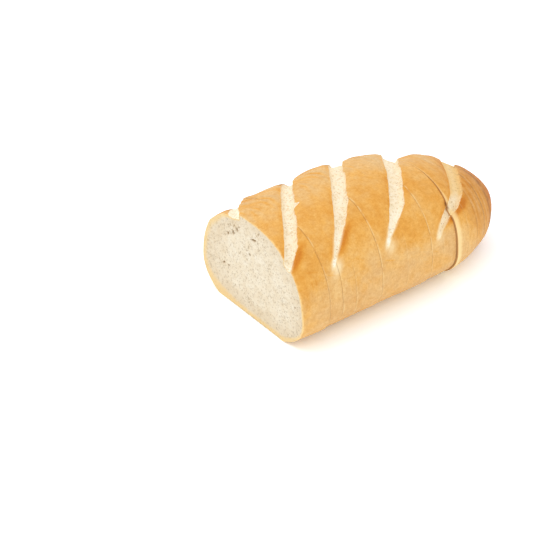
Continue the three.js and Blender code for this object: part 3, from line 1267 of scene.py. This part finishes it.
class MeshMaker:
    """Collects points, faces and numbers of one closed piece and makes its mesh."""

    def __init__(self) -> None:
        """Start with nothing."""
        self.points: list[np.ndarray] = []
        self.numbers: dict[str, list[np.ndarray]] = {}
        self.faces: list[tuple[np.ndarray, Finish]] = []
        self.count = 0

    def add_points(self, points: np.ndarray, **numbers: np.ndarray) -> np.ndarray:
        """Add points and the numbers stored with them.

        Args:
            points: Points in mm, a row to a point.
            **numbers: One number per point and name; a name left out counts as 0.

        Returns:
            The indices of the points.
        """
        for name, values in numbers.items():
            self.numbers.setdefault(name, [np.zeros(self.count)] if self.count else [])
            self.numbers[name].append(np.broadcast_to(values, len(points)))
        for name, parts in self.numbers.items():
            if name not in numbers:
                parts.append(np.zeros(len(points)))
        self.points.append(points)
        self.count += len(points)
        return np.arange(self.count - len(points), self.count)

    def add_faces(self, faces: np.ndarray, finish: Finish) -> None:
        """Add faces with the same number of corners, a row to a face."""
        if len(faces):
            self.faces.append((faces, finish))

    def make(self, name: str, materials: list[bpy.types.Material],
             sharp: list[np.ndarray]) -> bpy.types.Object:
        """Make the object.

        Args:
            name: Name of the object.
            materials: One material to a Finish.
            sharp: Loops of point indices whose edges stay sharp.

        Returns:
            The linked object.
        """
        mesh = bpy.data.meshes.new(name)
        points = np.concatenate(self.points) * METRES
        mesh.vertices.add(len(points))
        mesh.vertices.foreach_set("co", points.astype(np.float32).ravel())
        corners = np.concatenate([faces.ravel() for faces, _ in self.faces])
        sizes = np.concatenate([np.full(len(f), f.shape[1]) for f, _ in self.faces])
        finishes = np.concatenate([np.full(len(f), int(kind)) for f, kind in self.faces])
        mesh.loops.add(len(corners))
        mesh.loops.foreach_set("vertex_index", corners.astype(np.int32))
        mesh.polygons.add(len(sizes))
        mesh.polygons.foreach_set("loop_start", np.concatenate([[0], np.cumsum(sizes)[:-1]]))
        mesh.polygons.foreach_set("material_index", finishes)
        mesh.polygons.foreach_set("use_smooth", np.ones(len(sizes), bool))
        for label, parts in self.numbers.items():
            stored = mesh.attributes.new(label, "FLOAT", "POINT")
            stored.data.foreach_set("value", np.concatenate(parts).astype(np.float32))
        for material in materials:
            mesh.materials.append(material)
        mesh.update(calc_edges=True)
        ends = np.empty(len(mesh.edges) * 2, np.int32)
        mesh.edges.foreach_get("vertices", ends)
        loop_of, order = np.full(len(points), -1), np.zeros(len(points), int)
        for number, loop in enumerate(sharp):
            loop_of[loop], order[loop] = number, np.arange(len(loop))
        first, second = ends[::2], ends[1::2]
        near = np.abs(order[first] - order[second])
        size = np.array([len(loop) for loop in sharp] + [0])[loop_of[first]]
        along = (loop_of[first] >= 0) & (loop_of[first] == loop_of[second])
        mesh.edges.foreach_set("use_edge_sharp", along & ((near == 1) | (near == size - 1)))
        item = bpy.data.objects.new(name, mesh)
        bpy.context.scene.collection.objects.link(item)
        return item


@dataclass(frozen=True)
class CutMark:
    """How plainly a knife cut shows in the crust, and from which girth down."""

    cut: int
    strength: float = 0.0
    top: float = 20.0
    width: float = 0.5
    pale: float = 1.0
    far: float = 57.0

    def seen(self, girth: np.ndarray) -> np.ndarray:
        """Return how plainly the cut shows at girths, from 0 to 1."""
        near = smooth(self.top - 9, self.top + 9, girth)
        return self.strength * np.maximum(near, smooth(self.far - 9, self.far + 9, -girth))


@dataclass
class Piece:
    """One slice of the loaf, or its heel: crust, base and cut faces in one closed mesh."""

    # Steps between the rims of a slice, rings of the heel, and how far short of its tip the
    # heel's last ring stops, in mm.
    RINGS = 21
    NOSE_RINGS = 46
    TIP_FLAT = 0.12
    # Girth at which the last score crosses the open gap, in mm.
    CROSSING = 48.0
    # Points whose distances are worked out at once, and the crumb's deepest hole in mm.
    CHUNK = 4000
    DEEPEST = 3.2

    number: int
    node: str
    start: float
    end: float
    side: float
    front: Cut
    back: Cut
    crust: Crust
    marks: tuple[CutMark, CutMark]
    grown: tuple[float, float] = (0.0, 0.0)
    spread: tuple[float, float] = (0.0, 0.0)
    origin: tuple[float, float] = (0.0, 0.0)
    column_step: float = 0.5
    base_step: float = 2.2
    base_dish: float = 0.35
    rim: tuple[float, ...] = (0.0, 0.14, 0.38, 0.75)
    rim_drop: tuple[float, ...] = (0.30, 0.10, 0.02, 0.0)
    is_heel: bool = False

    def stations(self) -> np.ndarray:
        """Return the stations of the rings, closer at the cuts and at the heel's tip.

        Returns:
            Stations in mm, in order.
        """
        if self.is_heel:
            reach = self.end - self.start - self.TIP_FLAT
            turn = np.linspace(0, math.pi / 2, self.NOSE_RINGS)
            nose = self.start + reach * np.sin(turn)
            nose = nose[nose > self.start + 1]
            return np.unique(np.concatenate([self.start + np.array(self.rim), nose]))
        inner = np.arange(self.start + self.rim[-1], self.end - self.rim[-1] + 0.01,
                          (self.end - self.start - 2 * self.rim[-1]) / self.RINGS)
        ends = [self.start + np.array(self.rim[:-1]), self.end - np.array(self.rim[:-1])]
        return np.unique(np.round(np.concatenate([*ends, inner]), 4))

    def girths(self, sections: Sections) -> np.ndarray:
        """Return the girths of the columns on each ring, which follow the score lines.

        Args:
            sections: The sections of the rings.

        Returns:
            Girths in mm, a row to a ring.
        """
        station = sections.station
        keys = []
        for score in self.crust.scores:
            low, high = score.far - 3 + self.side, score.near + 3 + self.side
            rows = [line.girth_at(score, station) + self.side for line in self.crust.lines]
            if not any(((row > low) & (row < high)).any() for row in rows):
                continue
            for step, row in enumerate(rows):
                keys.append(np.clip(row, low + 0.4 * step, high - 0.4 * (len(rows) - step)))
        rim = sections.corner - 1.5
        stops = [-sections.corner]
        for key in keys:
            stops.append(np.maximum(np.clip(key, -rim, rim), stops[-1] + 0.15))
        stops.append(sections.corner)
        columns = [stops[0][:, None]]
        for last, stop in zip(stops, stops[1:]):
            parts = max(1, math.ceil((stop - last).max() / self.column_step))
            share = np.arange(1, parts + 1)[None, :] / parts
            columns.append(last[:, None] + (stop - last)[:, None] * share)
        return np.concatenate(columns, axis=1)

    def edge_drop(self, station: np.ndarray, girth: np.ndarray) -> np.ndarray:
        """Return how far the knife rounded the crust at points, in mm.

        Args:
            station: Stations in mm.
            girth: Girths in mm.

        Returns:
            One depth per point.
        """
        front = np.interp(station - self.start, self.rim, self.rim_drop)
        front = front * (0.05 + 0.95 * self.shown(0, girth))
        if self.is_heel:
            return front
        back = np.interp(self.end - station, self.rim, self.rim_drop)
        return np.maximum(front, back * (0.05 + 0.95 * self.shown(1, girth)))

    def shown(self, end: int, girth: np.ndarray) -> np.ndarray:
        """Return how plainly the front cut (0) or the back one (1) shows, less on a torn floor.

        Args:
            end: 0 at the front cut, 1 at the back one.
            girth: Girths in mm.

        Returns:
            One value per girth, from 0 to 1.
        """
        floor = self.crust.inside_score(np.float64((self.start, self.end)[end]), girth - self.side)
        return self.marks[end].seen(girth) * (1 - 0.8 * smooth(-0.6, 0.6, floor))

    def edge_tones(self, girth: np.ndarray, before: np.ndarray,
                   after: np.ndarray) -> tuple[np.ndarray, np.ndarray]:
        """Return the pale line along the front cut and the painted shade line along the back one.

        Args:
            girth: Girths in mm.
            before: Distances from the front cut in mm.
            after: Distances from the back cut in mm.

        Returns:
            How strongly each line shows, from 0 to 1.
        """
        ragged = 0.5 + 0.5 * self.crust.skin.layered(girth / 4.0, before * 0 + self.number * 5.3, 3)
        broken = smooth(0.05, 0.7, ragged)
        front, back = self.marks
        pale = 0.8 * front.pale * self.shown(0, girth) * np.exp(-(before / 0.75) ** 2) * broken
        end, mark, away = (0, front, before) if self.is_heel else (1, back, after)
        dark = 0.8 * self.shown(end, girth) * np.exp(-(away / mark.width) ** 2)
        dark = dark * (0.35 + 0.65 * broken)
        # Along the open gap the dark line and the dark spot where the last score crosses it are
        # painted shade.
        crossing = np.exp(-((girth - self.CROSSING) / 2.4) ** 2)
        if self.front is Cut.GAP:
            wide = 0.6 + 3.3 * smooth(30, 52, girth)
            pale = (0.35 + 0.40 * smooth(30, 52, girth)) * np.exp(-(before / wide) ** 4)
            pale = pale * (1 - crossing)
            dark = np.maximum(dark, crossing * np.exp(-(before / 1.4) ** 2))
        if self.back is Cut.GAP:
            dark = np.exp(-(after / 0.45) ** 2) * (0.10 + 0.16 * smooth(0, 30, girth))
            dark = np.maximum(dark, crossing * np.exp(-(after / 1.6) ** 2))
        return pale, dark

    def dress(self, item: bpy.types.Object) -> None:
        """Tie the piece to the frame: its body and its node.

        Args:
            item: The finished object.
        """
        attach(item, "root")
        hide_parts(self.node)

    def build(self, materials: list[bpy.types.Material]) -> bpy.types.Object:
        """Build the piece.

        Args:
            materials: One material to a Finish.

        Returns:
            The finished object.
        """
        maker = MeshMaker()
        station = self.stations()
        sections = self.crust.form.sections(station)
        girth = self.girths(sections)
        ring = np.broadcast_to(station[:, None], girth.shape)
        at = girth - self.side
        front_edge, back_edge = ring - self.start, self.end - ring
        where = ring - self.swell(girth, 0) * smooth(5, 0, front_edge)
        where = where + self.swell(girth, 1) * smooth(5, 0, back_edge)
        relief = self.crust.relief(where, at) - self.edge_drop(ring, girth)
        relief = relief + self.crust.form.slope(ring, where, girth)
        y, z = sections.place(girth, relief)
        settle = self.crust.form.sizes(np.array([self.start]))["base"][0]
        y, z = y + self.side, z - settle
        under_y, under_z = self.under(y, z, sections)
        rings, columns = girth.shape
        across = under_y.shape[1]
        every = columns + across
        points = np.stack([np.concatenate([where, self.under_x(where, across)], 1),
                           np.concatenate([y, under_y], 1),
                           np.concatenate([z, under_z], 1)], axis=2)
        # The dark lines are painted shade in the cuts; the baked lip tips are added to them.
        pale, dark = self.edge_tones(girth, front_edge, back_edge)
        dark = np.maximum(dark, 0.9 * self.crust.lip_tips(where, at))
        shade = np.zeros((rings, every))
        shade[0], shade[-1] = self.front is Cut.GAP, self.back is Cut.GAP
        pads = ((0, 0), (0, across))
        numbers = {
            "toast": np.pad(self.crust.toast(where, at), pads, constant_values=0.7),
            "tan": np.pad(self.crust.tan(where, at), pads, constant_values=0.5),
            "glow": np.pad(self.crust.glow(where, at), pads),
            "baked": np.pad(self.crust.baked(where, at), pads),
            "inside": np.pad(np.clip(self.crust.inside_score(where, at), -6, 6), pads,
                             constant_values=-6),
            "edge_pale": np.pad(pale, pads), "cut_shade_and_tips": np.pad(dark, pads), "shade": shade,
        }
        self.move(points)
        maker.add_points(points.reshape(-1, 3), **{k: v.ravel() for k, v in numbers.items()},
                         rim_depth=np.zeros(rings * every), pore=np.zeros(rings * every))
        index = np.arange(rings * every).reshape(rings, every)
        beside = np.roll(index, -1, axis=1)
        quads = np.stack([index[:-1], beside[:-1], beside[1:], index[1:]], axis=2)
        maker.add_faces(quads[:, :columns - 1].reshape(-1, 4), Finish.CRUST)
        maker.add_faces(quads[:, columns - 1:].reshape(-1, 4), Finish.BASE)
        hub = float(sections.waist[0] - settle)
        self.close(maker, index[0], points[0], hub, self.front, True)
        if self.is_heel:
            self.tip(maker, index[-1], points[-1])
        else:
            self.close(maker, index[-1], points[-1], float(sections.waist[-1] - settle),
                       self.back, False)
        item = maker.make(f"{self.node}_bread", materials, [index[0], index[-1]])
        self.dress(item)
        return item

    def swell(self, girth: np.ndarray, end: int) -> np.ndarray:
        """Return how far the soft cut edge reaches past its saw line, in mm.

        Args:
            girth: Girths in mm.
            end: 0 at the front cut, 1 at the back one.

        Returns:
            Reach in mm, more on the crown than low on the sides where a gap stands open.
        """
        if self.is_heel and end:
            return np.zeros(girth.shape)
        crown = smooth(52, 30, np.abs(girth))
        ragged = 0.03 * self.crust.skin.layered(girth / 5.0, girth * 0 + self.number + end, 3)
        ragged = ragged if end else -ragged
        seen = self.shown(end, girth) * (self.number + end > 1)
        if self.spread[end]:
            return self.grown[end] + self.spread[end] * crown + ragged
        return self.grown[end] - 0.11 * seen ** 2 + 0.5 * ragged * seen

    def under_x(self, x: np.ndarray, count: int) -> np.ndarray:
        """Return the base's x between the two corners of each ring."""
        share = (np.arange(1, count + 1) / (count + 1))[None, :]
        return x[:, -1:] + (x[:, :1] - x[:, -1:]) * share

    def under(self, y: np.ndarray, z: np.ndarray,
              sections: Sections) -> tuple[np.ndarray, np.ndarray]:
        """Return the base's points between its two corners.

        Args:
            y: Crust points' y, a row to a ring.
            z: Crust points' z.
            sections: The sections of the rings.

        Returns:
            The y and z of the base's points, from the near corner to the far one.
        """
        count = max(8, int(np.ceil((y[:, 0] - y[:, -1]).max() / self.base_step)))
        share = (np.arange(1, count) / count)[None, :]
        spread = 0.5 - 0.5 * np.cos(math.pi * share) * (1 - 0.25 * np.sin(math.pi * share))
        across = y[:, -1:] + (y[:, :1] - y[:, -1:]) * spread
        level = z[:, -1:] + (z[:, :1] - z[:, -1:]) * spread
        dish = self.base_dish * smooth(0, 0.12, spread) * smooth(0, 0.12, 1 - spread)
        rough = self.crust.patch.layered(sections.station[:, None] / 9, across / 9, 3)
        return across, level + dish * (1 + 0.5 * rough)

    def move(self, points: np.ndarray) -> None:
        """Shift points from loaf stations to the row frame."""
        points[..., 0] += self.origin[0]
        points[..., 1] += self.origin[1]

    def close(self, maker: MeshMaker, ring: np.ndarray, outline: np.ndarray, hub: float,
              cut: Cut, front: bool) -> None:
        """Close a ring with a cut face of crumb.

        Args:
            maker: The mesh being made.
            ring: Indices of the ring's points.
            outline: The ring's points in mm.
            hub: Height of the middle in mm.
            cut: How finely the face is meshed.
            front: Whether the face looks towards the loaf's cut end.
        """
        middle = np.array([self.side + self.origin[1], hub])
        edge = outline[:, 1:] - middle
        angle, reach = np.arctan2(edge[:, 1], edge[:, 0]), np.hypot(edge[:, 0], edge[:, 1])
        order = np.argsort(angle)
        inner = self.grid(edge, cut.value)
        towards = np.arctan2(inner[:, 1], inner[:, 0])
        far = np.interp(towards, angle[order], reach[order], period=2 * math.pi)
        plane = np.interp(towards, angle[order], outline[order, 0], period=2 * math.pi)
        depth = self.distance(inner, edge)
        keep = (np.hypot(inner[:, 0], inner[:, 1]) < far) & (depth > 0.45 * cut.value)
        inner, depth, plane = inner[keep], depth[keep], plane[keep]
        middle_x = outline[:, 0].mean()
        plane = middle_x + (plane - middle_x) * np.exp(-depth / 7)
        flat = np.concatenate([edge, inner])
        loop = list(range(len(edge)))
        found = delaunay_2d_cdt([Vector(p) for p in flat.tolist()], [], [loop], 1, 1e-7)
        origin = np.array([ids[0] for ids in found[3]])
        faces = origin[np.array([face for face in found[2] if len(face) == 3])]
        hollow, pore = self.hollows(inner, depth, cut, middle)
        inward = 1.0 if front else -1.0
        points = np.column_stack([plane + inward * hollow, inner + middle])
        shade = smooth(14, 5, depth) * (cut is Cut.GAP)
        rim = depth * (1 - 0.75 * smooth(5, 45, inner[:, 0]))
        # Toward the bottom of the face the rim depth is cut, which paints shade there as denser,
        # browner crumb.
        rim = rim * (1 - 0.8 * smooth(2, -26, inner[:, 1]))
        added = maker.add_points(points, inside=np.full(len(inner), -6.0), rim_depth=rim,
                                 pore=pore, shade=shade)
        lookup = np.concatenate([ring, added])
        faces = lookup[faces]
        maker.add_faces(faces[:, ::-1] if front else faces, Finish.CRUMB)

    def grid(self, edge: np.ndarray, step: float) -> np.ndarray:
        """Return a jittered grid of points over an outline's box.

        Args:
            edge: The outline's points in mm.
            step: Distance of the points in mm.

        Returns:
            Points in mm, a row to a point.
        """
        low, high = edge.min(0), edge.max(0)
        rows = np.arange(low[1], high[1], step * 0.87)
        spots = np.arange(low[0], high[0], step)
        y = spots[None, :] + (np.arange(len(rows)) % 2)[:, None] * step / 2
        z = np.broadcast_to(rows[:, None], y.shape)
        jitter = np.random.default_rng(900 + self.number).uniform(-0.2, 0.2, (2, *y.shape)) * step
        return np.column_stack([(y + jitter[0]).ravel(), (z + jitter[1]).ravel()])

    def distance(self, inner: np.ndarray, edge: np.ndarray) -> np.ndarray:
        """Return each point's distance from an outline, in mm.

        Args:
            inner: Points in mm.
            edge: The outline's points in mm.

        Returns:
            One distance per point.
        """
        sparse = edge[::2]
        result = np.empty(len(inner))
        for first in range(0, len(inner), self.CHUNK):
            part = inner[first:first + self.CHUNK]
            gap = part[:, None, :] - sparse[None, :, :]
            result[first:first + self.CHUNK] = np.sqrt((gap ** 2).sum(2).min(1))
        return result

    def hollows(self, inner: np.ndarray, depth: np.ndarray, cut: Cut,
                middle: np.ndarray) -> tuple[np.ndarray, np.ndarray]:
        """Return how deep the crumb's holes are, and how strongly shade is painted in them.

        Args:
            inner: Points of the face from its middle, in mm.
            depth: Their distance from the outline.
            cut: How finely the face is meshed.
            middle: The face's middle in mm of the row frame.

        Returns:
            Depth in mm and a mask of painted shade from 0 to 1.
        """
        if cut is Cut.CLOSED:
            return np.zeros(len(inner)), np.zeros(len(inner))
        y, z = inner[:, 0], inner[:, 1]
        holes = Hollows(500 + self.number)
        small = holes.depth(y, z, 2.6, 0.5, (0.4, 0.95))
        wide = Hollows(700 + self.number).depth(y, z, 9.5, 0.22, (0.7, 1.4))
        lumps = 0.16 * self.crust.swell.layered(y / 7, z / 7, 3)
        inside = smooth(1.2, 4.0, depth)
        total = inside * np.maximum(0.45 * small, 0.8 * wide)
        mask = inside * np.maximum(0.14 * np.clip(small / 0.9, 0, 1),
                                   0.34 * np.clip(wide / 1.2, 0, 1))
        for hole in OPEN_HOLES if self.number == 1 else ():
            deep = hole.depth_at(y + middle[0], z + middle[1])
            total = np.maximum(total, deep)
            mask = np.maximum(mask, np.clip(deep / 1.2, 0, 1))
        rough = smooth(0.2, 1.2, depth) * (0.10 + lumps)
        return np.clip(rough + total, 0, self.DEEPEST), mask

    def tip(self, maker: MeshMaker, ring: np.ndarray, outline: np.ndarray) -> None:
        """Close the heel's small last ring with a fan.

        Args:
            maker: The mesh being made.
            ring: Indices of the ring's points.
            outline: The ring's points in mm.
        """
        middle = outline.mean(0)
        middle[0] = self.end + self.origin[0]
        hub = maker.add_points(middle[None, :], toast=np.array([0.6]), tan=np.array([1.0]),
                               inside=np.array([-6.0]))[0]
        beside = np.roll(ring, -1)
        maker.add_faces(np.column_stack([ring, beside, np.full(len(ring), hub)]), Finish.CRUST)


@dataclass(frozen=True)
class Hole:
    """One of the larger holes in the open cut face, in mm of the row frame."""

    y: float
    z: float
    long: float
    wide: float
    turn: float
    deep: float

    def depth_at(self, y: np.ndarray, z: np.ndarray) -> np.ndarray:
        """Return the hole's depth at points in mm.

        Args:
            y: First coordinates in mm.
            z: Heights in mm.

        Returns:
            One depth per point.
        """
        turn = math.radians(self.turn)
        along = (y - self.y) * math.cos(turn) + (z - self.z) * math.sin(turn)
        beside = (z - self.z) * math.cos(turn) - (y - self.y) * math.sin(turn)
        left = 1 - (along / self.long) ** 2 - (beside / self.wide) ** 2
        return self.deep * np.sqrt(np.clip(left, 0, 1))


OPEN_HOLES = (
    Hole(21.0, 61.6, 2.0, 1.3, 60, 2.4), Hole(16.2, 65.7, 1.5, 1.1, 20, 2.0),
    Hole(27.2, 57.7, 1.4, 1.1, 0, 1.5), Hole(19.5, 67.6, 1.0, 0.9, 0, 1.0),
    Hole(13.8, 69.0, 0.9, 0.8, 0, 1.0), Hole(24.0, 66.2, 1.1, 0.8, 30, 1.0),
    Hole(-3.2, 66.8, 3.4, 0.9, -14, 1.6), Hole(1.0, 52.6, 1.1, 1.0, 0, 1.6),
    Hole(-50.5, 36.0, 0.9, 0.8, 0, 1.3), Hole(32.7, 30.1, 2.0, 0.8, -30, 1.5),
    Hole(26.8, 30.5, 1.3, 0.8, -20, 1.4),
)


@dataclass
class Loaf:
    """The sliced loaf: sixteen slices and the heel, in their settled places."""

    pitch: float = 12.0
    saw_gap: float = 0.3
    open_gap: float = 2.8
    open_after: int = 12
    open_spring: tuple[float, float] = (2.04, 0.74)
    crown_lean: tuple[float, float] = (0.82, -0.82)
    count: int = 16
    side_offset: float = -0.234
    form: LoafForm = field(default_factory=LoafForm)
    shifts: tuple[tuple[int, float], ...] = (
        (1, -1.4), (3, 0.0), (7, 0.5), (11, 1.2), (13, -0.8), (15, 0.0))
    cut_marks: tuple[CutMark, ...] = (
        CutMark(0, 0.8, 0, far=0), CutMark(2, 1.0, 22), CutMark(3, 0.6, 58), CutMark(4, 0.5, 70),
        CutMark(6, 0.9, 6), CutMark(8, 0.2, 62), CutMark(10, 0.9, 2), CutMark(11, 0.2, 60),
        CutMark(12, 0.6, 0), CutMark(13, 0.4, 40, pale=0.5), CutMark(14, 0.6, 0, 1.0, 0.2),
        CutMark(15, 0.7, 0, 1.3, 0.2), CutMark(16, 1.0, -9, 2.4, 0.0))
    scores: tuple[Score, ...] = (
        Score(0, -20.2, 10.5, 4.8, 30, 57, -74, walls=(9.5, 1.2), slump=-2.0, slump_reach=7,
              tip=-47, scorch=(30, 45)),
        Score(1, 26.9, 11.2, 4.9, 36, 60, -78, nick=4.5, baked=0.15, tip=-40, scorch=(38, 50)),
        Score(2, 70.9, 13.4, 4.2, 22, 60, -74, flare=-0.4, baked=0.25, far_gold=1.0, tip=-37,
              scorch=(41, 54)),
        Score(3, 123.2, 13.4, 4.4, 40, 63, -66, slant=0.74, walls=(2.4, 4), flare=2.0, lean=2.5,
              slump=3.3, baked=0.26, far_gold=1.0, halo=0.5, scorch=(26, 44), scorched=0.3),
        Score(4, 180.3, 13.2, 3.0, 50, 68, -36, hook=9.8, flare=3.5, baked=1.2, halo=0.36,
              scorch=(44, 61)))

    def span(self, number: int) -> tuple[float, float]:
        """Return the first and last station of a piece.

        Args:
            number: Number of the piece, from 1.

        Returns:
            Both stations in mm.
        """
        opened = self.open_gap - self.saw_gap if number > self.open_after else 0.0
        start = (number - 1) * self.pitch + opened
        end = self.form.length if number > self.count else start + self.pitch - self.saw_gap
        return start, end

    def side_shift(self, number: int) -> float:
        """Return how far a piece settled sideways."""
        return [side for first, side in self.shifts if number >= first][-1]

    def growth(self, cut: int) -> tuple[float, float]:
        """Return how far the crumb springs back before and after a cut, in mm.

        Args:
            cut: Number of the cut, 0 for the open face.

        Returns:
            Both reaches in mm.
        """
        if not 1 <= cut <= self.count:
            return 0.0, 0.0
        if cut == self.open_after:
            return self.open_spring
        return self.saw_gap / 2 - 0.002, self.saw_gap / 2 - 0.002

    def mark(self, cut: int) -> CutMark:
        """Return how plainly a cut shows; a cut that isn't listed doesn't."""
        return next((mark for mark in self.cut_marks if mark.cut == cut), CutMark(cut))

    def pieces(self) -> list[Piece]:
        """Return the slices and the heel, ready to build.

        Returns:
            The pieces in order.
        """
        crust = Crust(self.scores, self.form)
        origin = (CAD_BOX[0].x / METRES, self.side_offset)
        result = []
        for number in range(1, self.count + 2):
            heel = number > self.count
            start, end = self.span(number)
            front = {1: Cut.OPEN, self.open_after + 1: Cut.GAP}.get(number, Cut.CLOSED)
            back = Cut.GAP if number == self.open_after else Cut.CLOSED
            marks = (self.mark(number - 1), self.mark(number))
            grown = (self.growth(number - 1)[1], self.growth(number)[0])
            spread = (self.crown_lean[1] if front is Cut.GAP else 0.0,
                      self.crown_lean[0] if back is Cut.GAP else 0.0)
            result.append(Piece(number, "heel" if heel else f"slice_{number:02d}", start, end,
                                self.side_shift(number), front, back, crust,
                                marks, grown, spread, origin, is_heel=heel))
        return result

    def build(self, effects: Effects) -> None:
        """Build every piece and report it.

        Args:
            effects: The shared node groups.
        """
        materials = [CrustFinish().build(effects), CrumbFinish().build(effects),
                     BaseFinish().build(effects)]
        for piece in self.pieces():
            item = piece.build(materials)
            LOG.info("%s: %d faces, stations %.1f to %.1f mm", item.name,
                     len(item.data.polygons), piece.start, piece.end)


# ---------------------------------------------------------------- studio


@dataclass(frozen=True)
class Studio:
    """A pale floor, soft light from above and the camera."""

    floor_size: float = 8.0
    floor_colour: tuple = (1.24, 1.36, 1.46, 1.0)
    world_strength: float = 1.0
    key_power: float = 5.0
    key_size: float = 1.2
    key_place: tuple[float, float, float] = (-0.75, 0.55, 1.5)
    camera_place: tuple[float, float, float] = (-0.6436, -0.7256, 0.6386)
    camera_target: tuple[float, float, float] = (-0.0883, 0.00772, 0.0314)
    camera_lens: float = 103.59

    def build(self) -> None:
        """Build the floor, the lights and the camera."""
        self.build_floor()
        self.build_light()
        self.build_camera()
        bpy.context.scene.view_settings.view_transform = "Standard"

    def build_floor(self) -> None:
        """Build the floor, brighter than white so that it fills the shadows."""
        half = self.floor_size / 2
        mesh = bpy.data.meshes.new("studio_floor")
        mesh.from_pydata([(-half, -half, 0), (half, -half, 0), (half, half, 0), (-half, half, 0)],
                         [], [(0, 1, 2, 3)])
        floor = bpy.data.objects.new("studio_floor", mesh)
        bpy.context.scene.collection.objects.link(floor)
        material, _, shader = new_material("studio_white")
        shader.inputs["Base Color"].default_value = self.floor_colour
        shader.inputs["Roughness"].default_value = 0.9
        shader.inputs["Specular IOR Level"].default_value = 0.1
        mesh.materials.append(material)

    def build_light(self) -> None:
        """Build the even sky and the soft key light."""
        world = bpy.data.worlds.new("studio_sky")
        world.use_nodes = True
        sky = world.node_tree.nodes["Background"]
        sky.inputs["Color"].default_value = (1.0, 0.99, 0.975, 1.0)
        sky.inputs["Strength"].default_value = self.world_strength
        bpy.context.scene.world = world
        light = bpy.data.lights.new("key_light", "AREA")
        light.shape = "DISK"
        light.size = self.key_size
        light.energy = self.key_power
        key = bpy.data.objects.new("key_light", light)
        key.location = self.key_place
        aim = Vector((0, 0, 0.03)) - key.location
        key.rotation_euler = aim.to_track_quat("-Z", "Y").to_euler()
        bpy.context.scene.collection.objects.link(key)

    def build_camera(self) -> None:
        """Build the camera and make it the scene's."""
        data = bpy.data.cameras.new("camera")
        data.lens = self.camera_lens
        data.sensor_width = 36.0
        data.clip_end = 50.0
        camera = bpy.data.objects.new("camera", data)
        camera.location = self.camera_place
        aim = Vector(self.camera_target) - camera.location
        camera.rotation_euler = aim.to_track_quat("-Z", "Y").to_euler()
        bpy.context.scene.collection.objects.link(camera)
        bpy.context.scene.camera = camera


def main() -> None:
    """Build the studio and the loaf."""
    logging.basicConfig(level=logging.INFO, format="%(name)s: %(message)s")
    Studio().build()
    LOG.info("studio built")
    Loaf().build(Effects())


if __name__ == "__main__":
    main()
